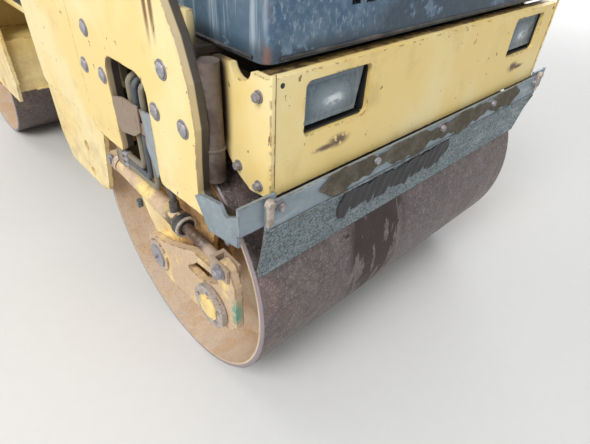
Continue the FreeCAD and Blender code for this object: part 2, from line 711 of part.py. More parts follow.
# Engine hood: a rounded shell, open below and behind.
def hood_solid(inset, floor, tail, top_round):
    low = floor
    y0 = fore(-S.hood_front + inset)
    y1 = fore(S.hood_back + tail)
    slope = (hood_high - hood_nose) / (S.hood_front + S.hood_back)
    nose = hood_nose - inset + inset * slope
    high = hood_high - inset + tail * slope
    block = profile("YZ", -S.hood_half + inset, S.hood_half - inset,
                    [(y0, low), (y1, low), (y1, high), (y0, nose)], {3: S.nose_round - inset})
    wide = number(S.hood_half - inset)
    rear_y = number(y1)
    base_z = number(low)

    def wanted(a, b):
        if abs(a.x - b.x) > 1e-4 or abs(abs(a.x) - wide) > 1e-4:
            return False
        if abs(a.z - base_z) < 1e-4 and abs(b.z - base_z) < 1e-4:
            return False
        if abs(a.y - rear_y) < 1e-4 and abs(b.y - rear_y) < 1e-4:
            return False
        return True

    def curved(shape_edges):
        names = []
        for i, edge in enumerate(shape_edges, start=1):
            ends = [v.Point for v in edge.Vertexes]
            if len(ends) == 2 and wanted(ends[0], ends[1]):
                names.append("Edge%d" % i)
        return names

    doc.recompute()
    before = block.Tip
    fillet = block.newObject("PartDesign::Fillet", "Fillet")
    fillet.Base = (before, curved(before.Shape.Edges))
    bind(fillet, "Radius", top_round)
    block.Tip = fillet
    doc.recompute()
    return block


hood_shell = cut(hood_solid(0 * S.hood_skin, hood_low, 0 * S.hood_skin, S.hood_round),
                 [hood_solid(S.hood_skin, hood_low - 20, S.part_gap * 10,
                             S.hood_round - S.hood_skin)])
slots = []
for row in (0, 1, 2):
    for i in range(18):
        x = (i - 8.5) * S.slot_pitch
        z = hood_low + S.slot_rise + S.slot_tall * 2 * row
        slots.append(box((x - S.slot_wide / 2, x + S.slot_wide / 2),
                         (fore(-S.hood_front - 5), fore(-S.hood_front + S.hood_skin + 5)),
                         (z - S.slot_tall / 2, z + S.slot_tall / 2)))
knuckles = []
for low in (S.hinge_inner + S.hinge_wide + S.part_gap,
            -S.hinge_inner - S.hinge_wide * 2 + S.part_gap):
    eye = fuse([bar("x", (low, low + S.hinge_wide - S.part_gap * 2), hinge_y, hinge_z,
                    S.hinge_eye + S.part_gap),
                box((low, low + S.hinge_wide - S.part_gap * 2),
                    (hinge_y - S.hinge_eye * 1.6, hinge_y), (hinge_z - 1, hood_high - S.hood_skin - 4))])
    knuckles.append(cut(eye, [bar("x", (low, low + S.hinge_wide - S.part_gap * 2), hinge_y,
                                  hinge_z, S.hinge_pin + S.run_gap)]))
node("hood", fuse([cut(hood_shell, slots)] + knuckles))

engine_block = box((-S.engine_half, S.engine_half),
                   (fore(-S.engine_front), fore(-S.engine_front + S.engine_long)),
                   (deck_high, deck_high + S.engine_tall))
node("engine", engine_block)

# Centre joint: the king pins turn in the rear ears, the trunnion in the housing.
steer_arm = profile("XY", S.joint_high - S.arm_thick * 2.9 + S.part_gap,
                    S.joint_high - S.arm_thick * 1.9 + S.part_gap,
                    [(0 * S.arm_half, S.arm_half), (-S.steer_x - S.arm_half, S.arm_half - S.steer_y),
                     (-S.steer_x - S.arm_half, -S.arm_half - S.steer_y),
                     (0 * S.arm_half, -S.arm_half)],
                    {1: S.edge_round * 2, 2: S.edge_round * 2})
node("pivot_block", fuse([
    bar("z", 0, 0, (S.joint_high - S.block_half, S.joint_high + S.block_half), S.block_radius),
    bar("z", 0, 0, (ear_low - S.ear_plate, ear_top + S.ear_plate), S.king_radius),
    bar("y", 0, (-S.trunnion_reach, -S.block_radius * 0.5), S.joint_high, S.trunnion_radius),
    steer_arm]))


# Steering cylinder between the rear transom and the joint's arm.
def between(start, end, first, last, radius, bored=0):
    """A round bar along the line between two pins, by distances from the first."""
    a = V(*[number(c) for c in start])
    b = V(*[number(c) for c in end])
    way = (b - a).normalize()
    solid = Part.makeCylinder(number(radius), number(last) - number(first),
                              a + way * number(first), way)
    if number(bored) > 0:
        solid = solid.cut(Part.makeCylinder(number(bored), number(last) - number(first),
                                            a + way * number(first), way))
    return solid


anchor = (-S.anchor_x, S.anchor_y, steer_z)
steer_end = (-S.steer_x, -S.steer_y, steer_z)
steer_span = math.dist([number(c) for c in anchor], [number(c) for c in steer_end])
rod_start = S.steer_barrel * 1.6
barrel_end = S.steer_eye + S.steer_barrel_long + 60
eye_low = number(steer_z - S.arm_thick / 2)
barrel = between(anchor, steer_end, S.steer_eye - 4, barrel_end, S.steer_barrel)
barrel = barrel.fuse(Part.makeCylinder(S.steer_eye.value, S.arm_thick.value,
                                       V(anchor[0].value, anchor[1].value, eye_low)))
barrel = barrel.cut(Part.makeCylinder(S.steer_pin.value + S.run_gap.value, 200,
                                      V(anchor[0].value, anchor[1].value, eye_low - 100)))
barrel = barrel.cut(between(anchor, steer_end, S.steer_eye + 14, barrel_end + 1,
                            S.steer_rod + S.run_gap))
node("steering_cylinder", shape(barrel.removeSplitter()))
rod = between(anchor, steer_end, S.steer_eye + 14 + S.steer_stroke / 2, steer_span, S.steer_rod)
rod = rod.fuse(Part.makeCylinder(S.steer_eye.value, S.arm_thick.value,
                                 V(steer_end[0].value, steer_end[1].value, eye_low)))
node("steering_rod", shape(rod.removeSplitter()))

# Edge cutter on the right side of the front drum.
arm_out = half_drum + S.cutter_room + S.cutter_thick
arm_in = half_drum + S.cutter_room
cutter_mid = half_drum + S.cutter_room + S.cutter_thick / 2
boss_out = arm_in - S.part_gap
backing = [(fore(S.cutter_y - S.cutter_boss), S.cutter_z - S.cutter_boss),
           (fore(S.cutter_y + S.cutter_boss), S.cutter_z - S.cutter_boss),
           (fore(S.base_y + S.base_eye), S.base_z - S.base_eye),
           (fore(S.base_y + S.base_eye), S.base_z + S.base_eye * 3.3),
           (fore(S.cutter_y + S.cutter_boss), S.base_z + S.base_eye * 3.3),
           (fore(S.cutter_y - S.cutter_boss), S.cutter_z + S.cutter_boss)]
port_y = S.cutter_y + S.cutter_boss + 20
node("edge_cutter_bracket", fuse([
    profile("YZ", -carrier_out - 8, -carrier_out, backing,
            {0: S.edge_round, 1: S.edge_round, 2: S.edge_round, 3: S.edge_round,
             4: S.edge_round}),
    bar("x", (-boss_out, -carrier_out), fore(S.cutter_y), S.cutter_z, S.cutter_boss),
    bar("x", (-arm_out + S.part_gap / 4, -carrier_out), fore(S.cutter_y), S.cutter_z,
        S.cutter_pin),
    bar("x", (-cutter_mid + 10.3, -carrier_out), fore(S.base_y), S.base_z, S.base_eye * 0.7),
    bar("x", (-cutter_mid - 14, -carrier_out), fore(S.base_y), S.base_z, S.base_pin),
    box((-plate_out + 4, -carrier_out), (fore(port_y), fore(port_y + 30)),
        (S.base_z + 27, S.base_z + 72))]))

arm_outline = [
    (fore(S.cutter_y + S.cutter_boss), S.cutter_z - 34),
    (fore(S.cutter_y + S.cutter_boss), S.cutter_z + 42),
    (fore(S.cutter_y - S.cutter_boss), S.cutter_z + 70),
    (fore(-S.rod_y * 0.57), S.rod_z - 31),
    (fore(-S.rod_y + S.lug_radius), S.rod_z - 24),
    (fore(-S.rod_y + S.lug_radius), S.rod_z + S.lug_radius),
    (fore(-S.rod_y - S.lug_radius), S.rod_z + S.lug_radius),
    (fore(-S.rod_y - 36), S.rod_z - 28),
    (fore(-S.rod_y - 36), S.hub_z - 8),
    (fore(-S.hub_y - 62), S.hub_z - 30),
    (fore(-S.hub_y), S.hub_z - 60),
    (fore(S.cutter_y - S.cutter_boss - 10), S.cutter_z - 62)]
window = [(fore(S.cutter_y - S.cutter_boss * 2.8), S.cutter_z + 63),
          (fore(-S.rod_y * 0.62), S.rod_z - 53),
          (fore(-S.rod_y + 26), S.rod_z - 43),
          (fore(-S.rod_y + 22), S.rod_z - 57),
          (fore(-S.hub_y + 46), S.hub_z + 36)]
arm_plate = profile("YZ", -arm_out, -arm_in, arm_outline,
                    {0: S.edge_round * 2.4, 1: S.edge_round * 2.4, 2: S.edge_round * 2,
                     4: S.edge_round * 0.6, 5: S.lug_radius * 0.9, 6: S.lug_radius * 0.9,
                     8: S.edge_round, 9: S.edge_round, 10: S.edge_round * 2,
                     11: S.edge_round * 2})
arm_window = profile("YZ", -arm_out, -arm_in, window,
                     {i: S.edge_round * 0.4 for i in range(5)})
arm_body = cut(arm_plate, [
    arm_window,
    bar("x", (-arm_out, -arm_in), fore(S.cutter_y), S.cutter_z, S.cutter_pin + S.run_gap),
    bar("x", (-arm_out, -arm_in), fore(-S.hub_y), S.hub_z, S.spindle + S.run_gap)])
node("edge_cutter_arm", fuse([arm_body, bar("x", (-arm_out - 7, -arm_in + 7), fore(-S.rod_y),
                                            S.rod_z, S.rod_pin),
                                 bar("x", (-arm_out - S.part_gap * 2, -arm_out),
                                     fore(S.cutter_y), S.cutter_z, S.cutter_boss * 0.86)]))

hub_face = plate_out
hub_parts = fuse([
    bar("x", (-hub_face, -hub_face + S.hub_thick), fore(-S.hub_y), S.hub_z, S.hub_disc),
    bar("x", (-hub_face, -arm_in + S.part_gap), fore(-S.hub_y), S.hub_z, S.spindle)])
hub_holes = []
for i in range(5):
    angle = math.radians(90 + 72 * i)
    hub_holes.append(bar("x", (-hub_face, -hub_face + S.hub_thick),
                         fore(-S.hub_y + S.hub_circle * math.cos(angle)),
                         S.hub_z + S.hub_circle * math.sin(angle), S.hub_hole))
node("edge_cutter_hub", cut(hub_parts, hub_holes))

base = (-cutter_mid, fore(S.base_y), S.base_z)
tip = (-cutter_mid, fore(-S.rod_y), S.rod_z)
reach = math.dist([number(c) for c in base], [number(c) for c in tip])


def across(point, half, radius):
    """A bar along X about a pin."""
    return Part.makeCylinder(number(radius), 2 * half,
                             V(number(point[0]) - half, number(point[1]), number(point[2])),
                             V(1, 0, 0))


gland_at = S.base_eye + S.barrel_long
body_solid = between(base, tip, S.base_eye - 4, gland_at, S.barrel_radius)
body_solid = body_solid.fuse(between(base, tip, gland_at, gland_at + 22, S.gland_radius))
body_solid = body_solid.fuse(between(base, tip, S.base_eye - 4, S.base_eye + 14, S.gland_radius))
body_solid = body_solid.fuse(across(base, 10, S.base_eye))
body_solid = body_solid.cut(across(base, 30, S.base_pin + S.run_gap))
body_solid = body_solid.cut(between(base, tip, S.base_eye + 24, gland_at + 24,
                                    S.cutter_rod + S.run_gap))
node("edge_cutter_cylinder", shape(body_solid.removeSplitter()))
fork_deep = number(S.rod_pin) + number(S.pin_play) + 10
rod_solid = between(base, tip, S.base_eye + 40, reach - fork_deep - 6, S.cutter_rod)
fork = Part.makeBox(32, 34, fork_deep * 2 + 10,
                    V(-16, -17, reach - fork_deep - 10))
fork = fork.cut(Part.makeBox(21, 40, fork_deep * 2 + 2, V(-10.5, -20, reach - fork_deep - 1)))
way = V(0, number(tip[1]) - number(base[1]), number(tip[2]) - number(base[2]))
fork.Placement = FreeCAD.Placement(V(*[number(c) for c in base]), FreeCAD.Rotation(V(0, 0, 1), way))
fork = fork.cut(across(tip, 30, S.rod_pin + S.pin_play))
node("edge_cutter_rod", shape(rod_solid.fuse(fork).removeSplitter()))

# Hoses come out of the tub wall, down the slot and back to the port block.
hose_x = -tub_out - S.plate_thick / 2
hose_items = []
hose_marks = []
for i in range(3):
    y = fore(-S.hose_pitch * (1.8 - i))
    z = S.base_z + 34 + S.hose_step * i
    hose_marks.append(y)
    top = deck_high + S.port_high * 0.6
    path = [(-tub_in + 30, y, top), (hose_x, y, top), (hose_x, y, z), (hose_x, fore(port_y), z)]
    hose_items.append(shape(pipe(path, S.hose_radius, S.hose_radius * 2.6)))
node("cutter_hoses", fuse(hose_items))
# Two plates hung in the slot's mouth; the rear one carries the hose block.
plate_skin = (-plate_out, -plate_out + S.clamp_plate)
slot_tall = S.slot_top - S.leg_foot
hung = profile("YZ", plate_skin[0], plate_skin[1],
               [(fore(S.slot_back), S.leg_foot + slot_tall * 0.33),
                (fore(S.slot_back), S.leg_foot + slot_tall * 0.6),
                (fore(S.slot_back * 0.35), S.leg_foot + slot_tall * 0.66),
                (fore(S.slot_front * -0.42), S.leg_foot + slot_tall * 0.67),
                (fore(S.slot_front * -0.38), S.leg_foot + slot_tall * 0.42),
                (fore(0 * S.slot_back), S.leg_foot + slot_tall * 0.32),
                (fore(S.slot_back * 0.78), S.leg_foot + slot_tall * 0.26)])
tag = profile("YZ", plate_skin[0], plate_skin[1],
              [(fore(-S.slot_front), S.leg_foot + slot_tall * 0.1),
               (fore(S.slot_front * -0.86), S.leg_foot + slot_tall * 0.03),
               (fore(S.slot_front * -0.74), S.leg_foot + slot_tall * 0.16),
               (fore(S.slot_front * -0.56), S.leg_foot + slot_tall * 0.31),
               (fore(S.slot_front * -0.6), S.leg_foot + slot_tall * 0.5),
               (fore(S.slot_front * -0.5), S.leg_foot + slot_tall * 0.66),
               (fore(-S.slot_front), S.leg_foot + slot_tall * 0.68)])
clamp_low = S.leg_foot + slot_tall * 0.4
clamp_block = cut(box((-plate_out + S.clamp_plate, -tub_out - 3),
                      (fore(-S.hose_pitch * 2.3), fore(S.slot_back)),
                      (clamp_low, clamp_low + S.clamp_tall)),
                  [bar("z", hose_x, y, (clamp_low, clamp_low + S.clamp_tall), S.hose_radius)
                   for y in hose_marks])
clamps = [fuse([hung, clamp_block]), tag]
node("hose_clamps", fuse(clamps))

# Operator's platform on two beams.
floor_top = S.floor_high + S.wall
floor_plate = profile("XY", S.floor_high, floor_top,
                      [(-S.floor_half, S.floor_back), (-S.floor_half, -S.floor_front),
                       (S.floor_half, -S.floor_front), (S.floor_half, S.floor_back)],
                      {1: S.edge_round * 5, 2: S.edge_round * 5})
node("platform", floor_plate)

console = profile("YZ", -S.console_half, S.console_half,
                  [(-S.console_front, floor_top), (-S.console_front, S.console_high),
                   (-S.console_front + 50, S.console_high), (0 * S.wall, S.console_high - 80),
                   (0 * S.wall, floor_top)],
                  {1: S.edge_round * 2, 2: S.edge_round * 2, 3: S.edge_round * 2})
tilt = math.radians(S.wheel_tilt.value)
wheel_axis = V(0, math.sin(tilt), math.cos(tilt))
wheel_foot = V(0, number(-S.console_front + 70), number(S.console_high - 70))
column = Part.makeCylinder(S.column_radius.value, 120, wheel_foot, wheel_axis)
node("console", fuse([console, shape(column)]))
wheel_at = wheel_foot + wheel_axis * 120
ring = Part.makeTorus(S.wheel_ring.value, S.wheel_grip.value, V(0, 0, 42), V(0, 0, 1))
wheel = ring.fuse(Part.makeCylinder(28, 46, V(0, 0, 1)))
for i in range(3):
    spoke = Part.makeCylinder(8, S.wheel_ring.value - 20, V(20, 0, 30), V(1, 0, 0.075))
    spoke.rotate(V(0, 0, 0), V(0, 0, 1), 90 + 120 * i)
    wheel = wheel.fuse(spoke)
wheel.Placement = FreeCAD.Placement(wheel_at, FreeCAD.Rotation(V(0, 0, 1), wheel_axis))
node("steering_wheel", shape(wheel))

lever_x = -S.console_half - 20
lever = fuse([box((-S.console_half - 36, -S.console_half), (-S.console_front + 30, -30),
                  (S.console_high - 170, S.console_high - 110)),
              bar("z", lever_x, -S.console_front * 0.5,
                  (S.console_high - 112, S.console_high - 112 + S.lever_high), 8),
              bar("z", lever_x, -S.console_front * 0.5,
                  (S.console_high - 112 + S.lever_high, S.console_high - 62 + S.lever_high), 20)])
node("travel_lever", lever)

rails = []
for side in (-1, 1):
    x = (S.floor_half - S.rail_inset) * side
    path = [(x, S.rail_front, floor_top), (x, S.rail_front, S.rail_high),
            (x, S.rail_back, S.rail_high), (x, S.rail_back, floor_top)]
    rails.append(shape(pipe(path, S.rail_radius, S.rail_bend)))
node("grab_rails", fuse(rails))

# Water tank in the rear tub, with the seat on its front half.
tank = profile("YZ", -S.tank_half, S.tank_half,
               [(S.tank_front, deck_high), (S.tank_step, deck_high), (S.tank_step, hood_low),
                (S.tank_back, hood_low), (S.tank_back, S.tank_tail),
                (S.tank_back - S.tank_slope, S.tank_high), (S.tank_front, S.tank_high)],
               {1: S.tank_round * 0.5, 3: S.tank_round * 0.5, 4: S.tank_round * 1.5,
                5: S.tank_round, 6: S.tank_round})
node("water_tank", tank)
node("tank_cap", bar("z", 0, S.tank_back - S.cap_back, (S.tank_high, S.tank_high + S.cap_tall),
                     S.cap_radius))
seat_low = S.tank_high + S.seat_base
node("seat_base", box((-S.seat_half * 0.8, S.seat_half * 0.8),
                      (S.tank_front + 50, S.tank_front + 50 + S.seat_deep * 0.8),
                      (S.tank_high, seat_low)))
seat_back = S.seat_front + S.seat_deep
cushion = profile("YZ", -S.seat_half, S.seat_half,
                  [(S.seat_front, seat_low), (seat_back, seat_low),
                   (seat_back, seat_low + S.seat_thick),
                   (S.seat_front, seat_low + S.seat_thick)],
                  {0: S.edge_round, 3: S.edge_round * 3})
backrest = profile("YZ", -S.seat_half * 0.96, S.seat_half * 0.96,
                   [(seat_back, seat_low), (seat_back + S.back_thick, seat_low),
                    (seat_back + S.back_thick + 60, seat_low + S.back_tall),
                    (seat_back + 60, seat_low + S.back_tall)],
                   {2: S.edge_round * 2.5, 3: S.edge_round * 2.5})
node("seat", fuse([cushion, backrest]))

# Roll bar: fixed posts and a bow that folds back about pins in their lugs.
post_in = tub_in - S.post_side
hinge_top = S.post_high + S.bow_radius + S.part_gap
posts = []
for side in (-1, 1):
    low = post_in if side > 0 else -tub_in
    pair = (low, low + S.post_side)
    posts.append(box(pair, (S.post_at - S.post_side / 2, S.post_at + S.post_side / 2),
                     (ledge_high, S.post_high)))
    for lug in (low - S.bow_lug, low + S.post_side):
        posts += [box((lug, lug + S.bow_lug), (S.post_at - S.bow_radius, S.post_at + S.bow_radius),
                      (S.post_high - 60, hinge_top)),
                  bar("x", (lug, lug + S.bow_lug), S.post_at, hinge_top, S.bow_radius)]
    posts.append(bar("x", (low - S.bow_lug, low + S.post_side + S.bow_lug), S.post_at, hinge_top,
                     S.bow_pin))
node("roll_bar_posts", fuse(posts))
mid = post_in + S.post_side / 2
bow_path = [(-mid, S.post_at, hinge_top), (-mid, S.post_at, S.bow_high - S.bow_radius),
            (mid, S.post_at, S.bow_high - S.bow_radius), (mid, S.post_at, hinge_top)]
bow = shape(pipe(bow_path, S.bow_radius, S.bow_bend))
feet = [bow]
bores = []
for side in (-1, 1):
    low = post_in if side > 0 else -tub_in
    feet.append(bar("x", (low + S.bow_gap, low + S.post_side - S.bow_gap), S.post_at, hinge_top,
                    S.bow_radius))
    bores.append(bar("x", (low, low + S.post_side), S.post_at, hinge_top,
                     S.bow_pin + S.run_gap))
node("roll_bar_bow", cut(fuse(feet), bores))

doc.recompute()
for obj in doc.Objects:
    if "Invalid" in obj.State or "Error" in obj.State:
        raise RuntimeError("%s (%s) did not build" % (obj.Name, obj.Label))
for obj in NODES:
    if obj.Shape.isNull() or not obj.Shape.isValid() or not obj.Shape.Solids:
        raise RuntimeError("%s has no valid solid" % obj.Label)
for obj in NODES:
    obj.Shape.exportStep("parts/" + obj.Label + ".step")
print(len(NODES), "sub-parts written")
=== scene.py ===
"""Looks of the articulated tandem road roller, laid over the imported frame."""
import math
import random

import bmesh
import bpy
from bpy.props import FloatProperty, FloatVectorProperty, IntProperty, PointerProperty
from mathutils import Matrix, Vector


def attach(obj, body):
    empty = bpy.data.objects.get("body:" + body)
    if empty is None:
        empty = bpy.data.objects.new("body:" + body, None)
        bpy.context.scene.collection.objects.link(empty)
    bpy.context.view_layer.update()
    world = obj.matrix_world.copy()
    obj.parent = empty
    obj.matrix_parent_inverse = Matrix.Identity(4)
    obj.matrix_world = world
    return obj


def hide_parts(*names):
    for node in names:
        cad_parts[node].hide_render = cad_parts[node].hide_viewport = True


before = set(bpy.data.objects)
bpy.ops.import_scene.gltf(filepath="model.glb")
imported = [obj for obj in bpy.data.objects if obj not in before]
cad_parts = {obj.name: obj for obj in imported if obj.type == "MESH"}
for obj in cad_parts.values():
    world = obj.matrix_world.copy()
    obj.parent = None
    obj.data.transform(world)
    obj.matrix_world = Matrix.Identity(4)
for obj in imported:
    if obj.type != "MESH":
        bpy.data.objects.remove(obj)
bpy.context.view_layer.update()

bl_info = {
    "name": "Tandem road roller looks",
    "version": (1, 0, 0),
    "blender": (4, 5, 0),
    "location": "3D View > Sidebar > Roller",
    "description": "Finishes and fine pieces of an articulated tandem road roller",
    "category": "Object",
}

FRONT, REAR = -1, 1          # the module's side of the joint
AXLE = 850                   # axle's distance from the joint, mm
FACE = 540                   # outer face of the thick side plates
WING = 477                   # outer face of the bumper's wings
BUMPER = 1187                # outer face of a bumper
LEAF = 1203                  # outer face of a scraper's upper leaf
PLATE_BOLTS = [(-154, 816), (-109, 733), (-199, 735), (139, 814), (186, 732), (97, 735)]
GAUGES = [(-125, 26), (-68, 16), (68, 16), (125, 0)][:3]
WING_BOLTS = [(-311, 810), (-257, 675), (-310, 661)]


def linear(code):
    """A hex sRGB colour as linear red, green and blue."""
    parts = [int(code[i:i + 2], 16) / 255 for i in (1, 3, 5)]
    return tuple(c / 12.92 if c <= 0.04045 else ((c + 0.055) / 1.055) ** 2.4 for c in parts)


def colour_field(title, told, code):
    return FloatVectorProperty(name=title, description=told, subtype="COLOR", size=3,
                               min=0, max=1, default=linear(code))


class RollerColours(bpy.types.PropertyGroup):
    """Colours of the machine's finishes."""
    yellow: colour_field("Yellow", "Enamel of the frame and plates", "#f0d387")
    pale: colour_field("Sun-bleached yellow", "Enamel where the sun has faded it", "#f6e6b4")
    grime: colour_field("Grime", "Dried mud and oil on the enamel", "#a98a50")
    rust: colour_field("Rust", "Bare steel where the enamel is chipped", "#6d4228")
    hood: colour_field("Hood", "Grey-blue enamel of the hood and console", "#4f6577")
    chalk: colour_field("Chalked hood", "Hood enamel where it has gone chalky", "#8fa1ae")
    drum: colour_field("Drum", "Rolled steel of the drums", "#5d5252")
    soil: colour_field("Soil", "Dried soil in the drum ends", "#b78f63")
    galvanised: colour_field("Galvanised", "Zinc coated scraper and brackets", "#8b98a0")
    zinc: colour_field("Bolts", "Zinc plated bolts and washers", "#97949a")
    rubber: colour_field("Rubber", "Hoses, strips and mats", "#232327")
    vinyl: colour_field("Seat", "Seat cover", "#2a2b2d")


class RollerSizes(bpy.types.PropertyGroup):
    """Sizes of the fine pieces."""
    bolt_across: FloatProperty(name="Bolt across flats", description="Hex heads on the wings",
                               unit="LENGTH", default=0.0125, min=0.008, max=0.04)
    dome_radius: FloatProperty(name="Plate bolt radius", description="Heads on the side plates",
                               unit="LENGTH", default=0.0155, min=0.006, max=0.03)
    weld: FloatProperty(name="Weld bead", description="Half width of a weld bead",
                        unit="LENGTH", default=0.004, min=0.001, max=0.01)
    hose_radius: FloatProperty(name="Hose radius", description="Hydraulic hoses",
                               unit="LENGTH", default=0.0065, min=0.003, max=0.02)
    flute_pitch: FloatProperty(name="Lens flutes", description="Pitch of the lens flutes",
                               unit="LENGTH", default=0.006, min=0.003, max=0.02)
    rib_pitch: FloatProperty(name="Mat ribs", description="Pitch of the floor mat's ribs",
                             unit="LENGTH", default=0.02, min=0.01, max=0.06)
    crown: FloatProperty(name="Cushion crown", description="How far the cushions may swell",
                         unit="LENGTH", default=0.012, min=0.004, max=0.03)
    seed: IntProperty(name="Seed", description="Varies bolts, chips and tears", default=7)


# Making and shaping meshes

def clear():
    """Back to object mode with nothing selected."""
    if bpy.context.object and bpy.context.object.mode != "OBJECT":
        bpy.ops.object.mode_set(mode="OBJECT")
    bpy.ops.object.select_all(action="DESELECT")


def only(piece):
    clear()
    bpy.context.view_layer.objects.active = piece
    piece.select_set(True)
    return piece


def baked(name):
    """Name the new primitive and put its place into its mesh."""
    bpy.ops.object.transform_apply(location=True, rotation=True, scale=True)
    piece = bpy.context.object
    piece.name = piece.data.name = name
    return piece


def block(name, low, high):
    """A cube primitive between two corners, in millimetres."""
    clear()
    low, high = Vector(low) / 1000, Vector(high) / 1000
    bpy.ops.mesh.primitive_cube_add(size=1, location=(low + high) / 2, scale=high - low)
    return baked(name)


def drum_bar(name, start, end, radius, sides=24, tip=None):
    """A cylinder, or a cone where the far end has its own radius."""
    clear()
    a, b = Vector(start) / 1000, Vector(end) / 1000
    turn = (b - a).to_track_quat("Z", "Y").to_euler()
    bpy.ops.mesh.primitive_cone_add(vertices=sides, radius1=radius / 1000,
                                    radius2=(radius if tip is None else tip) / 1000,
                                    depth=(b - a).length, location=(a + b) / 2, rotation=turn)
    return baked(name)


def ring(name, middle, way, radius, thick, sides=40, steps=10):
    """A torus primitive about a line."""
    clear()
    turn = Vector(way).to_track_quat("Z", "Y").to_euler()
    bpy.ops.mesh.primitive_torus_add(major_radius=radius / 1000, minor_radius=thick / 1000,
                                     major_segments=sides, minor_segments=steps,
                                     location=Vector(middle) / 1000, rotation=turn)
    return baked(name)


def tube(name, points, radius, swell=None, caps=True):
    """A round section along one smooth NURBS line through given points, as a mesh."""
    clear()
    line = bpy.data.curves.new(name, "CURVE")
    line.dimensions = "3D"
    run = line.splines.new("NURBS")
    run.points.add(len(points) - 1)
    for i, spot in enumerate(points):
        run.points[i].co = (spot[0] / 1000, spot[1] / 1000, spot[2] / 1000, 1)
        run.points[i].radius = swell[i] if swell else 1
    run.order_u = 3
    run.use_endpoint_u = True
    run.resolution_u = 8
    line.bevel_depth = radius / 1000
    line.bevel_resolution = 3
    line.use_fill_caps = caps
    piece = bpy.data.objects.new(name, line)
    bpy.context.collection.objects.link(piece)
    only(piece)
    bpy.ops.object.convert(target="MESH")
    smooth(piece, 50)
    return bpy.context.object


def work(piece, *steps):
    """Edit-mode work; each step picks faces, edges or verts by a test, then acts on them."""
    only(piece)
    bpy.ops.object.mode_set(mode="EDIT")
    for kind, test, act in steps:
        bpy.ops.mesh.select_mode(type=kind)
        bpy.ops.mesh.select_all(action="DESELECT")
        mesh = bmesh.from_edit_mesh(piece.data)
        mesh.normal_update()
        for item in {"FACE": mesh.faces, "EDGE": mesh.edges, "VERT": mesh.verts}[kind]:
            if test(item):
                item.select_set(True)
        bmesh.update_edit_mesh(piece.data)
        act()
    bpy.ops.object.mode_set(mode="OBJECT")
    return piece


def apply(piece, kind, **settings):
    """Add a modifier, set it and apply it."""
    only(piece)
    made = piece.modifiers.new(kind.title(), kind)
    for key, value in settings.items():
        setattr(made, key, value)
    bpy.ops.object.modifier_apply(modifier=made.name)
    return piece


def slab(name, a, b, radius=1.0):
    """A block between any two corners with its edges rounded."""
    low = [min(p, q) for p, q in zip(a, b)]
    high = [max(p, q) for p, q in zip(a, b)]
    return rounded(block(name, low, high), radius, 2)


def rounded(piece, width, segments=2):
    return apply(piece, "BEVEL", width=width / 1000, segments=segments, limit_method="ANGLE",
                 angle_limit=math.radians(40))


def smooth(piece, angle=35):
    only(piece)
    bpy.ops.object.shade_smooth_by_angle(angle=math.radians(angle))
    return piece


def join(name, pieces):
    """Several meshes as one piece."""
    clear()
    for piece in pieces:
        piece.select_set(True)
    bpy.context.view_layer.objects.active = pieces[0]
    if len(pieces) > 1:
        bpy.ops.object.join()
    made = bpy.context.object
    made.name = made.data.name = name
    return made


def facing(point, way, spin=0.0):
    """The matrix that stands a model, made along +Z, on a point."""
    turn = Vector(way).to_track_quat("Z", "Y").to_matrix().to_4x4()
    return Matrix.Translation(Vector(point) / 1000) @ turn @ Matrix.Rotation(spin, 4, "Z")


def spread(model, name, places):
    """Copies of one model, each with its own mesh, joined as one piece."""
    made = []
    for matrix in places:
        twin = model.copy()
        twin.data = model.data.copy()
        bpy.context.collection.objects.link(twin)
        twin.data.transform(matrix)
        made.append(twin)
    bpy.data.objects.remove(model)
    return join(name, made)


def fit(name, body, finish, parts, angle=35):
    """One piece from a short list of primitives: what it is, then its own numbers."""
    kinds = {"slab": slab, "bar": drum_bar, "ring": ring, "tube": tube}
    pieces = [kinds[kind](kind, *numbers) for kind, *numbers in parts]
    return settle(join(name, pieces), body, M[finish], angle)


def ragged(name, left, right, low, high, face, torn, thick, columns=90, rows=10):
    """A thin hanging sheet whose edges wander; face gives its y at a height."""
    clear()
    bpy.ops.mesh.primitive_grid_add(x_subdivisions=columns, y_subdivisions=rows, size=1)
    sheet = baked(name)
    for v in sheet.data.vertices:
        u, w = v.co.x + 0.5, v.co.y + 0.5
        wave = (math.sin(u * 23 + left * 9) + 0.6 * math.sin(u * 57 + 1) + 0.4 * math.sin(u * 131))
        end = math.sqrt(max(0.0, 1 - min(1.0, min(u, 1 - u) / 0.06 - 1) ** 2)) if min(
            u, 1 - u) < 0.06 else 1.0
        middle = (low + high) / 2 + torn * 0.35 * math.sin(u * 9)
        half = (high - low) / 2 * end
        edge = torn * wave * (abs(w - 0.5) * 2) ** 2 * (1 if w < 0.5 else -0.6)
        z = middle + (w - 0.5) * 2 * half + edge * end
        v.co = (left + (right - left) * u, face(z, u), z)
    apply(sheet, "SOLIDIFY", thickness=thick, offset=0)
    return sheet


def settle(piece, body, finish, angle=35):
    """Give a finished piece its material and the body that it rides on."""
    piece.data.materials.clear()
    piece.data.materials.append(finish)
    if angle:
        smooth(piece, angle)
    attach(piece, body)
    return piece


def module(end):
    return "front_module" if end == FRONT else "rear_module"


def word(end):
    return "front" if end == FRONT else "rear"


def at(end, x, y, z):
    """A point of the front module's own y', on either module."""
    return (x, (y - AXLE) * -end, z)


# Materials

def add(tree, kind, settings=None, inputs=None):
    """Add a node with its settings; an input takes a value or another node's output."""
    made = tree.nodes.new(kind)
    for key, value in (settings or {}).items():
        setattr(made, key, value)
    for key, value in (inputs or {}).items():
        if isinstance(value, bpy.types.NodeSocket):
            tree.links.new(value, made.inputs[key])
        else:
            made.inputs[key].default_value = value
    return made


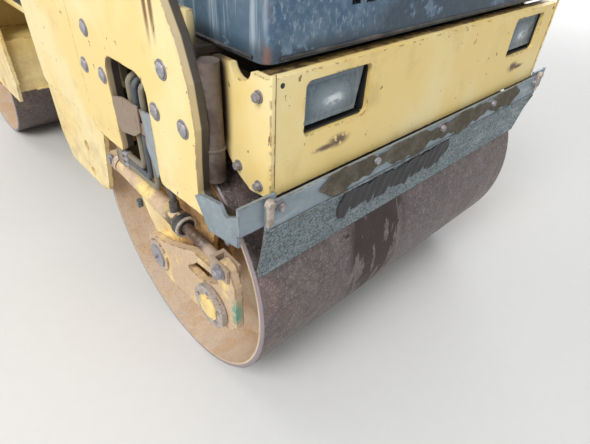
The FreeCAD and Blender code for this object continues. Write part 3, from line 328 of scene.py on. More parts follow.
def patches(tree, where, size, low, high, stretch=(1, 1, 1), detail=4.0):
    """A mask from 0 to 1 in patches of about size metres."""
    spot = add(tree, "ShaderNodeMapping", None, {"Vector": where, "Scale": stretch})
    field = add(tree, "ShaderNodeTexNoise", None,
                {"Vector": spot.outputs[0], "Scale": 1 / size, "Detail": detail, "Roughness": 0.62})
    return add(tree, "ShaderNodeMapRange", {"interpolation_type": "SMOOTHSTEP"},
               {"Value": field.outputs[0], "From Min": low, "From Max": high}).outputs[0]


def both(tree, one, other, how="MULTIPLY"):
    return add(tree, "ShaderNodeMath", {"operation": how, "use_clamp": True},
               {0: one, 1: other}).outputs[0]


def band(tree, value, low, high):
    """1 above high and 0 below low; the other way round where low is the greater."""
    if low > high:
        return both(tree, 1.0, band(tree, value, high, low), "SUBTRACT")
    return add(tree, "ShaderNodeMapRange", {"interpolation_type": "SMOOTHSTEP"},
               {"Value": value, "From Min": low, "From Max": high}).outputs[0]


def spot_at(tree, where, middle, reach):
    """1 at a point, falling to 0 at its reach in each direction."""
    moved = add(tree, "ShaderNodeMapping", {"vector_type": "TEXTURE"},
                {"Vector": where, "Location": middle, "Scale": reach})
    far = add(tree, "ShaderNodeVectorMath", {"operation": "LENGTH"}, {0: moved.outputs[0]})
    return add(tree, "ShaderNodeMapRange", {"interpolation_type": "SMOOTHSTEP"},
               {"Value": far.outputs["Value"], "From Min": 1.0, "From Max": 0.25}).outputs[0]


def folded(tree, where):
    """Coordinates with both sides and both ends laid over each other: |x|, |y| and z."""
    x, y, z = parts_of(tree, where)
    x, y = (add(tree, "ShaderNodeMath", {"operation": "ABSOLUTE"}, {0: v}).outputs[0]
            for v in (x, y))
    return x, y, z, add(tree, "ShaderNodeCombineXYZ", None, {0: x, 1: y, 2: z}).outputs[0]


def within(tree, value, low, high, soft=0.004):
    """1 where a value lies between low and high."""
    return both(tree, band(tree, value, low - soft, low), band(tree, value, high + soft, high))


def zone(tree, x, y, z, low, high, soft=0.004):
    """1 in a block of space between two corners."""
    mask = within(tree, x, low[0], high[0], soft)
    for value, a, b in ((y, low[1], high[1]), (z, low[2], high[2])):
        mask = both(tree, mask, within(tree, value, a, b, soft))
    return mask


def edges(tree, where, reach, low=0.42, high=0.56, size=0.012):
    """A mask along sharp edges, broken up as chips are."""
    soft = add(tree, "ShaderNodeBevel", {"samples": 4}, {"Radius": reach})
    real = add(tree, "ShaderNodeNewGeometry")
    same = add(tree, "ShaderNodeVectorMath", {"operation": "DOT_PRODUCT"},
               {0: soft.outputs[0], 1: real.outputs["Normal"]})
    rim = add(tree, "ShaderNodeMapRange", None,
              {"Value": same.outputs["Value"], "From Min": 0.995, "From Max": 0.9})
    return both(tree, rim.outputs[0], patches(tree, where, size, low, high))


def coats(tree, base, layers):
    """Colours over a base, each laid on by its mask."""
    for mask, colour in layers:
        base = add(tree, "ShaderNodeMix", {"data_type": "RGBA"},
                   {0: mask, 6: base if isinstance(base, bpy.types.NodeSocket) else (*base, 1),
                    7: (*colour, 1)}).outputs[2]
    return base


def relief(tree, height, depth):
    """A bump of the given depth in metres."""
    return add(tree, "ShaderNodeBump", None,
               {"Height": height, "Distance": depth, "Strength": 1.0}).outputs[0]


def between(tree, mask, low, high):
    """A value that runs from low to high with a mask."""
    return add(tree, "ShaderNodeMapRange", None,
               {"Value": mask, "To Min": low, "To Max": high}).outputs[0]


def begin(name):
    """A new material's tree, its shader and its object coordinates."""
    made = bpy.data.materials.new(name)
    made.use_nodes = True
    tree = made.node_tree
    shader = tree.nodes["Principled BSDF"]
    where = add(tree, "ShaderNodeTexCoord").outputs["Object"]
    return made, tree, shader, where


def feed(tree, shader, **inputs):
    for key, value in inputs.items():
        key = key.replace("_", " ").title() if key != "Emission_Color" else "Emission Color"
        socket = shader.inputs["IOR" if key == "Ior" else key]
        if isinstance(value, bpy.types.NodeSocket):
            tree.links.new(value, socket)
        else:
            socket.default_value = value


def parts_of(tree, where):
    split = add(tree, "ShaderNodeSeparateXYZ", None, {0: where})
    return split.outputs[0], split.outputs[1], split.outputs[2]


def yellow_enamel(c, name, worn_edge_painted_light=False):
    """Machine enamel, sprayed on plate: satin, bleached by the sun, grimy low down and chipped
    to brown steel here and there along its edges. Fades are 300 mm wide, chips 20 mm. The hose
    slot and the gap behind the plate are painted near-black as shade; the top under the hood's
    lip is painted brown as shade, darker in oily patches. With the worn edge, the plates' front
    edges are more chipped and get a painted cream highlight on their outer band and painted
    shade further in."""
    made, tree, shader, where = begin(name)
    x, y, z, fold = folded(tree, where)
    fade = patches(tree, where, 0.3, 0.4, 0.62)
    film = patches(tree, where, 0.11, 0.54, 0.78, detail=8)
    low = both(tree, band(tree, z, 0.72, 0.40), patches(tree, where, 0.05, 0.38, 0.68))
    least = 0.46 if worn_edge_painted_light else 0.52
    chips = edges(tree, where, 0.005, least, least + 0.05, 0.022)
    nicks = patches(tree, where, 0.019, 0.715, 0.735, detail=2)
    rust_halo = edges(tree, where, 0.016, 0.50, 0.66, 0.05)
    run = spot_at(tree, fold, (0.54, 0.997, 0.91), (0.03, 0.010, 0.07))
    second = spot_at(tree, fold, (0.54, 0.979, 0.91), (0.03, 0.010, 0.08))
    patch = spot_at(tree, fold, (0.325, 1.187, 0.706), (0.036, 0.03, 0.017))
    tail = spot_at(tree, fold, (0.352, 1.187, 0.702), (0.045, 0.03, 0.008))
    streak = both(tree, both(tree, run, second, "MAXIMUM"),
                  patches(tree, where, 0.012, 0.34, 0.44, (1, 1, 0.15)))
    blot = both(tree, both(tree, patch, tail, "MAXIMUM"),
                patches(tree, where, 0.012, 0.37, 0.43))
    seam = both(tree, both(tree, within(tree, z, 0.571, 0.583), within(tree, x, 0.51, 0.525)),
                patches(tree, where, 0.03, 0.52, 0.58))
    # Painted shade: the hose slot and the gap behind the plate are laid near-black.
    slot = zone(tree, x, y, z, (0.40, 0.70, 0.50), (0.535, 0.99, 0.80))
    behind = spot_at(tree, fold, (0.485, 1.03, 0.78), (0.050, 0.075, 0.20))
    # Painted shade: the top under the hood's lip is laid brown, darker in oily patches.
    under_hood_shade = zone(tree, x, y, z, (-0.1, 1.02, 0.825), (0.462, 1.168, 0.87), 0.006)
    stain = zone(tree, x, y, z, (0.474, 1.02, 0.72), (0.48, 1.075, 0.85), 0.022)
    oil = patches(tree, where, 0.02, 0.42, 0.6, detail=6)
    # dark gathers the painted shade of the slot and the gap behind the plate.
    dark = both(tree, slot, both(tree, behind, 2.2), "MAXIMUM")
    layers = [
        (both(tree, fade, 0.6), c.pale), (both(tree, film, 0.35), c.grime),
        (both(tree, low, 0.4), c.soil), (both(tree, rust_halo, 0.3), c.grime),
        (both(tree, stain, 0.75), linear("#8a6226")), (both(tree, under_hood_shade, 0.85), linear("#6a4c20")),
        (both(tree, both(tree, under_hood_shade, oil), 0.85), linear("#2b2220")),
        (both(tree, streak, 0.9), c.rust), (both(tree, blot, 0.9), linear("#5d4446")),
        (both(tree, nicks, 0.8), c.rust), (both(tree, seam, 0.8), linear("#5a3b26")),
        (both(tree, chips, 0.9), c.rust), (both(tree, dark, 0.92), linear("#2f2a29"))]
    if worn_edge_painted_light:
        facing_side = parts_of(tree, add(tree, "ShaderNodeTexCoord").outputs["Normal"])[0]
        flat = add(tree, "ShaderNodeMath", {"operation": "ABSOLUTE"}, {0: facing_side}).outputs[0]
        # The plates' front edge faces: an outer band painted cream, as worn paint with a painted highlight, and
        # painted shade further in.
        rim = both(tree, band(tree, flat, 0.65, 0.45), band(tree, y, 0.70, 0.71))
        layers += [(both(tree, rim, 0.75), linear("#c3ae8e")),
                   (both(tree, both(tree, rim, band(tree, x, 0.530, 0.527)), 0.95),
                    linear("#2d2827"))]
    colour = coats(tree, c.yellow, layers)
    bare = both(tree, chips, both(tree, streak, blot, "ADD"), "ADD")
    peel = patches(tree, where, 0.004, 0.3, 0.7, detail=2)
    feed(tree, shader, base_color=colour, roughness=between(tree, bare, 0.44, 0.85),
         normal=relief(tree, both(tree, both(tree, peel, 0.2), both(tree, bare, 0.5), "SUBTRACT"),
                       0.0006))
    return made


def worn_enamel(c):
    """Enamel of the cutter's arm: rubbed to a dusty tan over most of it, yellow in the lee of the
    lug, bare grey about the pivot, with a smear of green marking paint on its lower corner."""
    made, tree, shader, where = begin("worn_enamel")
    rubbed = patches(tree, where, 0.07, 0.36, 0.52, detail=8)
    pivot = both(tree, spot_at(tree, where, (-0.53, -0.825, 0.30), (0.05, 0.062, 0.066)),
                 patches(tree, where, 0.04, 0.30, 0.42))
    corner = both(tree, spot_at(tree, where, (-0.527, -1.142, 0.365), (0.03, 0.014, 0.055)),
                  patches(tree, where, 0.02, 0.36, 0.46))
    chips = edges(tree, where, 0.006, 0.42, 0.52, 0.02)
    clods = patches(tree, where, 0.010, 0.45, 0.7, detail=3)
    grease = both(tree, spot_at(tree, where, (-0.517, -0.945, 0.478), (0.06, 0.055, 0.06)),
                  patches(tree, where, 0.016, 0.44, 0.52))
    colour = coats(tree, c.yellow, [
        (both(tree, rubbed, 0.85), linear("#c2a993")), (both(tree, clods, 0.45), c.soil),
        (both(tree, pivot, 0.9), linear("#a49aa0")), (both(tree, chips, 0.85), c.rust),
        (both(tree, grease, 0.9), linear("#2c2420")), (both(tree, corner, 0.8), linear("#3f9c86"))])
    feed(tree, shader, base_color=colour, roughness=between(tree, rubbed, 0.5, 0.82),
         normal=relief(tree, both(tree, clods, 0.6), 0.0008))
    return made


def hung_steel(c):
    """Strip steel in the hose slot: zinc on the front plate, brown with oily dust behind it."""
    made, tree, shader, where = begin("hung_steel")
    x, y, z = parts_of(tree, where)
    rear = band(tree, y, -0.904, -0.900)
    dust = patches(tree, where, 0.03, 0.4, 0.62, detail=8)
    colour = coats(tree, linear("#97a2a8"), [
        (rear, linear("#8f7b66")), (both(tree, dust, 0.35), linear("#a2968a")),
        (both(tree, both(tree, rear, patches(tree, where, 0.016, 0.60, 0.66)), 0.5), c.rust),
        (edges(tree, where, 0.003), linear("#6b5a4a"))])
    feed(tree, shader, base_color=colour, metallic=between(tree, rear, 0.4, 0.05),
         roughness=between(tree, dust, 0.5, 0.85), normal=relief(tree, dust, 0.0005))
    return made


def dried_mud(c):
    """A crust of dried mud: olive brown, dull, lumpy at 8 mm with fine cracks."""
    made, tree, shader, where = begin("dried_mud")
    lumps = patches(tree, where, 0.012, 0.35, 0.65, detail=6)
    pale = patches(tree, where, 0.06, 0.45, 0.62, detail=8)
    colour = coats(tree, linear("#554d3b"), [(both(tree, pale, 0.55), linear("#7a7263")),
                                             (both(tree, lumps, 0.4), linear("#3a3428"))])
    feed(tree, shader, base_color=colour, roughness=between(tree, lumps, 0.72, 0.92),
         normal=relief(tree, lumps, 0.0025))
    return made


def hood_enamel(c):
    """Grey-blue enamel on sheet steel, gone chalky: pale vertical runs 20 mm wide where rain has
    washed it, whitish mottling, and the lower border peeled dark. The front face is painted
    darker as shade."""
    made, tree, shader, where = begin("hood_enamel")
    x, y, z = parts_of(tree, where)
    front = band(tree, y, -1.155, -1.160)
    up = parts_of(tree, add(tree, "ShaderNodeTexCoord").outputs["Normal"])[2]
    runs = both(tree, patches(tree, where, 0.019, 0.47, 0.66, (1, 1, 0.07), detail=6),
                both(tree, band(tree, up, 0.6, 0.4), both(tree, 1.0, front, "SUBTRACT")))
    chalk = patches(tree, where, 0.13, 0.42, 0.66, detail=10)
    cloud = patches(tree, where, 0.012, 0.44, 0.66, detail=8)
    speck = patches(tree, where, 0.007, 0.54, 0.66, (1, 1, 0.45), detail=3)
    worn = spot_at(tree, where, (0.12, -1.162, 0.875), (0.46, 0.03, 0.075))
    peeled = both(tree, both(tree, both(tree, worn, 3.0), band(tree, z, 0.885, 0.860), "MAXIMUM"),
                  patches(tree, where, 0.05, 0.41, 0.45))
    corner = both(tree, spot_at(tree, where, (-0.462, -1.16, 0.87), (0.016, 0.016, 0.085)),
                  patches(tree, where, 0.02, 0.40, 0.56, (1, 1, 0.3)))
    chips = edges(tree, where, 0.004, 0.5, 0.58, 0.02)
    colour = coats(tree, c.hood, [
        # The front face is painted darker, as shade.
        (both(tree, front, 0.75), linear("#3a5b78")), (both(tree, chalk, 0.32), c.chalk),
        (both(tree, runs, 0.8), linear("#a9b6be")), (both(tree, both(tree, cloud, both(tree, front, 0.3, "ADD")), 0.3), c.chalk),
        (both(tree, both(tree, speck, front), 0.5), linear("#a9b7c0")), (both(tree, peeled, 0.8), linear("#2c3a47")),
        (both(tree, corner, 0.8), linear("#7d5a4c")), (both(tree, chips, 0.8), linear("#4a3c35"))])
    feed(tree, shader, base_color=colour, roughness=between(tree, chalk, 0.40, 0.66),
         normal=relief(tree, both(tree, both(tree, peeled, chips, "MAXIMUM"), 0.6), -0.0005))
    return made


def drum_steel(c):
    """Rolled steel plate worn by stone and asphalt: a brown film of rust with 3 mm pits, bands
    along the rolling direction, bright where the end ring rubs, soil dried inside the rim. The
    inside of the shell is painted paler than its own tan, as light where it lies in shade."""
    made, tree, shader, where = begin("rolled_steel")
    x, y, z = parts_of(tree, where)
    yy = add(tree, "ShaderNodeMath", {"operation": "ABSOLUTE"}, {0: y}).outputs[0]
    dy = add(tree, "ShaderNodeMath", {"operation": "SUBTRACT"}, {0: yy, 1: 0.85}).outputs[0]
    dz = add(tree, "ShaderNodeMath", {"operation": "SUBTRACT"}, {0: z, 1: 0.35}).outputs[0]
    line = add(tree, "ShaderNodeCombineXYZ", None, {0: dy, 1: dz})
    away = add(tree, "ShaderNodeVectorMath", {"operation": "LENGTH"},
               {0: line.outputs[0]}).outputs["Value"]
    inside = band(tree, away, 0.341, 0.338)
    bands = patches(tree, where, 0.06, 0.40, 0.62, (1, 0.12, 0.12), detail=6)
    film = patches(tree, where, 0.14, 0.42, 0.62, detail=8)
    pits = patches(tree, where, 0.0045, 0.52, 0.66, detail=2)
    flecks = patches(tree, where, 0.005, 0.55, 0.64, detail=3)
    mottle = patches(tree, where, 0.016, 0.45, 0.60, detail=6)
    dust = patches(tree, where, 0.05, 0.5, 0.75, detail=10)
    rusty = both(tree, band(tree, add(tree, "ShaderNodeMath", {"operation": "ABSOLUTE"},
                                      {0: x}).outputs[0], 0.34, 0.48),
                 patches(tree, where, 0.05, 0.45, 0.60, detail=8))
    drips = patches(tree, where, 0.026, 0.42, 0.45, (1, 0.2, 0.2))
    stain = both(tree, both(tree, spot_at(tree, where, (-0.145, -1.185, 0.39),
                                          (0.13, 0.2, 0.25)), 2.5), drips)
    spatter = both(tree, spot_at(tree, where, (-0.24, -1.17, 0.47), (0.07, 0.1, 0.09)),
                   patches(tree, where, 0.012, 0.56, 0.60))
    wet = both(tree, stain, spatter, "MAXIMUM")
    ends = band(tree, add(tree, "ShaderNodeMath", {"operation": "ABSOLUTE"},
                          {0: x}).outputs[0], 0.4965, 0.499)
    crust = patches(tree, where, 0.07, 0.42, 0.60, detail=8)
    colour = coats(tree, c.drum, [
        (both(tree, film, 0.5), linear("#776963")), (both(tree, bands, 0.4), linear("#504b4f")),
        (both(tree, rusty, 0.5), linear("#7a5a4c")), (both(tree, pits, 0.4), linear("#40363a")),
        (both(tree, dust, 0.35), linear("#94867f")), (both(tree, mottle, 0.3), linear("#8a7f80")),
        (both(tree, flecks, 0.42), linear("#b0a49d")),
        (wet, linear("#2a1615")), (both(tree, ends, 0.75), linear("#a2969a")),
        # The shell's inside is painted paler than its own tan, as light where it lies in shade.
        (both(tree, inside, 0.97), linear("#d8c2a8")),
        (both(tree, both(tree, inside, crust), 0.45), linear("#c99f6e")),
        (both(tree, both(tree, inside, dust), 0.6), linear("#cbb9b0")),
        (both(tree, both(tree, inside, pits), 0.25), linear("#8f7460")),
        (both(tree, inside, patches(tree, where, 0.012, 0.70, 0.73)), c.rust)])
    feed(tree, shader, base_color=colour,
         metallic=both(tree, between(tree, film, 0.45, 0.2), both(tree, inside, wet, "ADD"),
                       "SUBTRACT"),
         roughness=both(tree, between(tree, film, 0.42, 0.62), both(tree, inside, 0.3), "ADD"),
         normal=relief(tree, pits, -0.0005))
    return made


def soiled_enamel(c):
    """Orange-tan primer in the drum ends under a crust of dried soil, in clods of 20 mm."""
    made, tree, shader, where = begin("soiled_enamel")
    crust = patches(tree, where, 0.04, 0.42, 0.6, detail=8)
    clods = patches(tree, where, 0.012, 0.4, 0.7, detail=3)
    colour = coats(tree, linear("#d3a660"), [
        (crust, c.soil), (both(tree, clods, 0.4), linear("#8d6f50")),
        (edges(tree, where, 0.006), c.rust)])
    feed(tree, shader, base_color=colour, roughness=between(tree, crust, 0.6, 0.95),
         normal=relief(tree, both(tree, crust, clods, "ADD"), 0.0012))
    return made


def galvanised_steel(c):
    """Hot-dip galvanised strip: dull blue-grey with 8 mm spangle, smooth on upright leaves and
    grained dark by grit on the slanted one."""
    made, tree, shader, where = begin("galvanised_steel")
    x, y, z = parts_of(tree, where)
    cells = add(tree, "ShaderNodeTexVoronoi", {"feature": "F1"}, {"Vector": where, "Scale": 120})
    tone = add(tree, "ShaderNodeSeparateXYZ", None, {0: cells.outputs["Color"]}).outputs[0]
    wash = patches(tree, where, 0.05, 0.4, 0.68, (0.5, 1, 1), detail=8)
    side = add(tree, "ShaderNodeMath", {"operation": "ABSOLUTE"}, {0: x}).outputs[0]
    lower = both(tree, band(tree, z, 0.606, 0.600), band(tree, side, 0.502, 0.500))
    grit = both(tree, lower, patches(tree, where, 0.0048, 0.47, 0.55, detail=2))
    shine = both(tree, lower, patches(tree, where, 0.006, 0.60, 0.66, detail=2))
    scuffs = patches(tree, where, 0.02, 0.55, 0.64, (0.25, 1, 1), detail=6)
    colour = coats(tree, c.galvanised, [
        (both(tree, tone, 0.18), linear("#a9b4ba")), (both(tree, wash, 0.35), linear("#7c8488")),
        (both(tree, lower, 0.35), linear("#6d7b78")), (both(tree, grit, 0.65), linear("#3c4645")),
        (both(tree, shine, 0.5), linear("#9fadab")),
        (both(tree, scuffs, 0.35), linear("#b3bcc0")),
        (edges(tree, where, 0.004), linear("#6a5a4c"))])
    feed(tree, shader, base_color=colour, metallic=0.45,
         roughness=between(tree, both(tree, wash, grit, "MAXIMUM"), 0.42, 0.75),
         normal=relief(tree, grit, -0.0004))
    return made


def zinc_plate(c):
    """Zinc plated bolts, weathered: lilac-grey with a tan film and white bloom in 5 mm spots."""
    made, tree, shader, where = begin("zinc_plate")
    bloom = patches(tree, where, 0.006, 0.45, 0.6)
    dull = patches(tree, where, 0.02, 0.45, 0.62)
    colour = coats(tree, c.zinc, [(both(tree, bloom, 0.4), linear("#c2c0c2")),
                                  (both(tree, dull, 0.35), linear("#8f8278")),
                                  (edges(tree, where, 0.0025, 0.3, 0.5), linear("#574940"))])
    feed(tree, shader, base_color=colour, metallic=0.35,
         roughness=between(tree, bloom, 0.42, 0.62), normal=relief(tree, bloom, 0.0003))
    return made


def machined_steel(c):
    """Turned steel faces of the hub and pins: grey with ring marks and light brown rust."""
    made, tree, shader, where = begin("machined_steel")
    film = patches(tree, where, 0.03, 0.42, 0.6, detail=8)
    freckles = patches(tree, where, 0.004, 0.56, 0.64)
    colour = coats(tree, linear("#bab0aa"), [(both(tree, film, 0.45), linear("#94806f")),
                                             (freckles, linear("#6b4a36"))])
    feed(tree, shader, base_color=colour, metallic=0.35, roughness=between(tree, film, 0.4, 0.65),
         normal=relief(tree, freckles, -0.0003))
    return made


def rusted_steel(c):
    """Bare plate under a thick coat of rust: red-brown, scaly at 10 mm."""
    made, tree, shader, where = begin("rusted_steel")
    scale = patches(tree, where, 0.012, 0.4, 0.62, detail=8)
    colour = coats(tree, linear("#7a4d36"), [(both(tree, scale, 0.6), linear("#4b3026"))])
    feed(tree, shader, base_color=colour, roughness=between(tree, scale, 0.7, 0.9),
         normal=relief(tree, scale, 0.0006))
    return made


def tarnished_chrome(c):
    """Hard chromed rod under old grease: brown film, shiny where the seal wipes it."""
    made, tree, shader, where = begin("tarnished_chrome")
    film = patches(tree, where, 0.025, 0.34, 0.50, detail=6)
    fork = both(tree, spot_at(tree, where, (-0.517, -1.115, 0.463), (0.09, 0.085, 0.09)), 4)
    colour = coats(tree, linear("#8d837b"), [(both(tree, film, 0.9), linear("#5f4636")),
                                             (both(tree, fork, 0.9), linear("#b09a85"))])
    feed(tree, shader, base_color=colour, metallic=both(tree, 0.6, fork, "SUBTRACT"),
         roughness=between(tree, film, 0.26, 0.6),
         normal=relief(tree, film, 0.0002))
    return made


def moulded_rubber(c, name, dusty=0.35):
    """Moulded black rubber, dry under pale dust or still wet, with a fine grain of 2 mm."""
    made, tree, shader, where = begin(name)
    dust = patches(tree, where, 0.03, 0.42, 0.68, (1, 1, 0.4), detail=8)
    grain = patches(tree, where, 0.0022, 0.4, 0.6, detail=1)
    colour = coats(tree, c.rubber, [(both(tree, dust, dusty), linear("#8b8378"))])
    feed(tree, shader, base_color=colour, roughness=between(tree, dust, 0.5, 0.85),
         normal=relief(tree, grain, 0.0002))
    return made


def hose_cover(c, name, tint):
    """Oil-resistant hose cover, wrapped while it cured: a 3 mm cross grain and a dusty sheen."""
    made, tree, shader, where = begin(name)
    dust = patches(tree, where, 0.04, 0.4, 0.62, detail=6)
    wrap = add(tree, "ShaderNodeTexWave", {"wave_type": "BANDS", "bands_direction": "Z"},
               {"Vector": where, "Scale": 105, "Distortion": 1.5}).outputs[1]
    colour = coats(tree, linear(tint), [(both(tree, dust, 0.3), linear("#94897b"))])
    feed(tree, shader, base_color=colour, roughness=between(tree, dust, 0.36, 0.7),
         normal=relief(tree, wrap, 0.0002))
    return made


def moulded_black(c, name, sun=0.5):
    """Textured black ABS: a fine 1.5 mm grain, greyed by the sun where it reaches."""
    made, tree, shader, where = begin(name)
    grain = patches(tree, where, 0.0015, 0.35, 0.65, detail=1)
    grey = patches(tree, where, 0.05, 0.42, 0.68, detail=6)
    colour = coats(tree, linear("#1e1f21"), [(both(tree, grey, sun), linear("#4b4b4a"))])
    feed(tree, shader, base_color=colour, roughness=between(tree, grey, 0.42, 0.68),
         normal=relief(tree, grain, 0.00015))
    return made


def aged_nylon(c):
    """Cast nylon gone bone-coloured in the weather: dull, with soil in its pores."""
    made, tree, shader, where = begin("aged_nylon")
    soil = patches(tree, where, 0.012, 0.42, 0.62, detail=6)
    colour = coats(tree, linear("#b8ab9b"), [(both(tree, soil, 0.6), linear("#7f7368"))])
    feed(tree, shader, base_color=colour, roughness=between(tree, soil, 0.5, 0.85),
         normal=relief(tree, soil, -0.0005))
    return made


def dark_enamel(c):
    """Anthracite enamel on frame parts: satin with dust and scuffed edges."""
    made, tree, shader, where = begin("dark_enamel")
    dust = patches(tree, where, 0.06, 0.44, 0.68, detail=8)
    colour = coats(tree, linear("#2f3134"), [(both(tree, dust, 0.4), linear("#7d746a")),
                                             (edges(tree, where, 0.004), linear("#6b5648"))])
    feed(tree, shader, base_color=colour, roughness=between(tree, dust, 0.4, 0.8),
         normal=relief(tree, patches(tree, where, 0.005, 0.3, 0.7), 0.0002))
    return made


def engine_casting(c):
    """Sand-cast iron of the engine: dark, oily and grainy at 3 mm."""
    made, tree, shader, where = begin("engine_casting")
    oil = patches(tree, where, 0.08, 0.42, 0.6, detail=6)
    sand = patches(tree, where, 0.003, 0.35, 0.65, detail=2)
    colour = coats(tree, linear("#3c3c3b"), [(both(tree, oil, 0.7), linear("#241f1b"))])
    feed(tree, shader, base_color=colour, metallic=0.2, roughness=between(tree, oil, 0.7, 0.38),
         normal=relief(tree, sand, 0.0004))
    return made


def tank_plastic(c):
    """Rotation-moulded polyethylene: grey-blue, waxy, with a soft pebble of 6 mm."""
    made, tree, shader, where = begin("tank_plastic")
    wax = patches(tree, where, 0.12, 0.4, 0.65, detail=6)
    pebble = patches(tree, where, 0.006, 0.3, 0.7, detail=2)
    colour = coats(tree, linear("#66798a"), [(both(tree, wax, 0.5), linear("#8494a0")),
                                             (both(tree, patches(tree, where, 0.03, 0.55, 0.7),
                                                   0.3), linear("#8b8172"))])
    feed(tree, shader, base_color=colour, roughness=between(tree, wax, 0.42, 0.6),
         subsurface_weight=0.05, normal=relief(tree, pebble, 0.0004))
    return made


def seat_vinyl(c):
    """Embossed PVC seat cover: leather-like grain of 2 mm, shiny where people sit."""
    made, tree, shader, where = begin("seat_vinyl")
    cells = add(tree, "ShaderNodeTexVoronoi", {"feature": "DISTANCE_TO_EDGE"},
                {"Vector": where, "Scale": 420}).outputs["Distance"]
    grain = band(tree, cells, 0.0, 0.25)
    rub = patches(tree, where, 0.12, 0.4, 0.62)
    colour = coats(tree, c.vinyl, [(both(tree, rub, 0.35), linear("#4a4946"))])
    feed(tree, shader, base_color=colour, roughness=between(tree, rub, 0.55, 0.38),
         sheen_weight=0.08, normal=relief(tree, grain, 0.0003))
    return made


def pressed_glass(c, name, tint, glint, through):
    """Pressed lamp glass under road dust: bluish where the bowl shows through, a painted glint
    in its middle, and a paler flat rim."""
    made, tree, shader, where = begin(name)
    x, y, z, fold = folded(tree, where)
    dust = patches(tree, where, 0.03, 0.35, 0.7, detail=6)
    grain = patches(tree, where, 0.006, 0.42, 0.60, (1, 1, 0.4), detail=3)
    # Painted highlight: a glint in the lens's middle, a soft halo and a near-white core.
    glint_halo = spot_at(tree, fold, (0.340, 1.176, 0.782), (0.060, 0.05, 0.034))
    glint_core = both(tree, spot_at(tree, fold, (0.337, 1.176, 0.779), (0.030, 0.05, 0.013)),
                patches(tree, where, 0.012, 0.36, 0.52, (0.5, 1, 1)))
    face = zone(tree, x, y, z, (0.286, 1.1, 0.757), (0.397, 1.3, 0.812), 0.003)
    colour = coats(tree, linear(tint), [
        (both(tree, grain, 0.35), linear("#4f606b")), (both(tree, dust, 0.25), linear("#8d999c")),
        (both(tree, both(tree, 1.0, face, "SUBTRACT"), 0.5), linear("#93a2aa")),
        (both(tree, glint_halo, 0.55), linear(glint)), (glint_core, linear("#f1f6f7"))])
    feed(tree, shader, base_color=colour, roughness=between(tree, dust, 0.10, 0.32), ior=1.5,
         transmission_weight=through, normal=relief(tree, grain, 0.0004))
    return made


def reflector(c):
    """Aluminium vapour on the lamp's bowl, dulled with age."""
    made, tree, shader, where = begin("lamp_reflector")
    haze = patches(tree, where, 0.03, 0.4, 0.65)
    colour = coats(tree, linear("#b9c2c6"), [(haze, linear("#8d9a9b"))])
    feed(tree, shader, base_color=colour, metallic=0.85, roughness=between(tree, haze, 0.14, 0.35))
    return made


def pale_floor(c):
    """Plain pale studio floor, faintly mottled like painted screed at 40 mm."""
    made, tree, shader, where = begin("pale_floor")
    tone = patches(tree, where, 0.04, 0.3, 0.7)
    colour = coats(tree, linear("#dcdad6"), [(both(tree, tone, 0.12), linear("#cfcdc8"))])
    near = add(tree, "ShaderNodeVectorMath", {"operation": "LENGTH"}, {0: where})
    seen = add(tree, "ShaderNodeLightPath").outputs["Is Camera Ray"]
    far = band(tree, near.outputs["Value"], 2.5, 9.0)
    feed(tree, shader, base_color=colour, roughness=0.85,
         Emission_Color=(0.9, 0.9, 0.89, 1), emission_strength=both(tree, seen, far))
    return made


M = {}
ON_NODES = {
    "yellow": ["front_frame", "rear_frame", "front_bumper", "rear_bumper",
               "edge_cutter_bracket", "grab_rails", "roll_bar_posts", "roll_bar_bow"],
    "plate": ["front_side_plates", "rear_side_plates"],
    "well": ["headlight_housings", "rear_lamp_housings"],
    "worn": ["edge_cutter_arm", "edge_cutter_cylinder"],
    "hung": ["hose_clamps"],
    "hood": ["hood", "console"],
    "drum": ["front_drum", "rear_drum"],
    "soiled": ["front_drum_carriers", "rear_drum_carriers"],
    "galvanised": ["front_scraper", "rear_scraper", "front_scraper_brackets",
                   "rear_scraper_brackets"],
    "rubber": ["front_drum_buffers", "rear_drum_buffers"],
    "plastic": ["front_spray_pipe", "rear_spray_pipe", "steering_wheel", "travel_lever",
                "tank_cap"],
    "dark": ["pivot_block", "steering_cylinder", "platform", "seat_base"],
    "chrome": ["steering_rod", "edge_cutter_rod"],
    "machined": ["edge_cutter_hub"],
    "engine": ["engine"],
    "tank": ["water_tank"],
    "hose": ["cutter_hoses"],
    "lens": ["headlight_lenses"],
    "red": ["rear_lamp_lenses"],
    "vinyl": ["seat"],
}


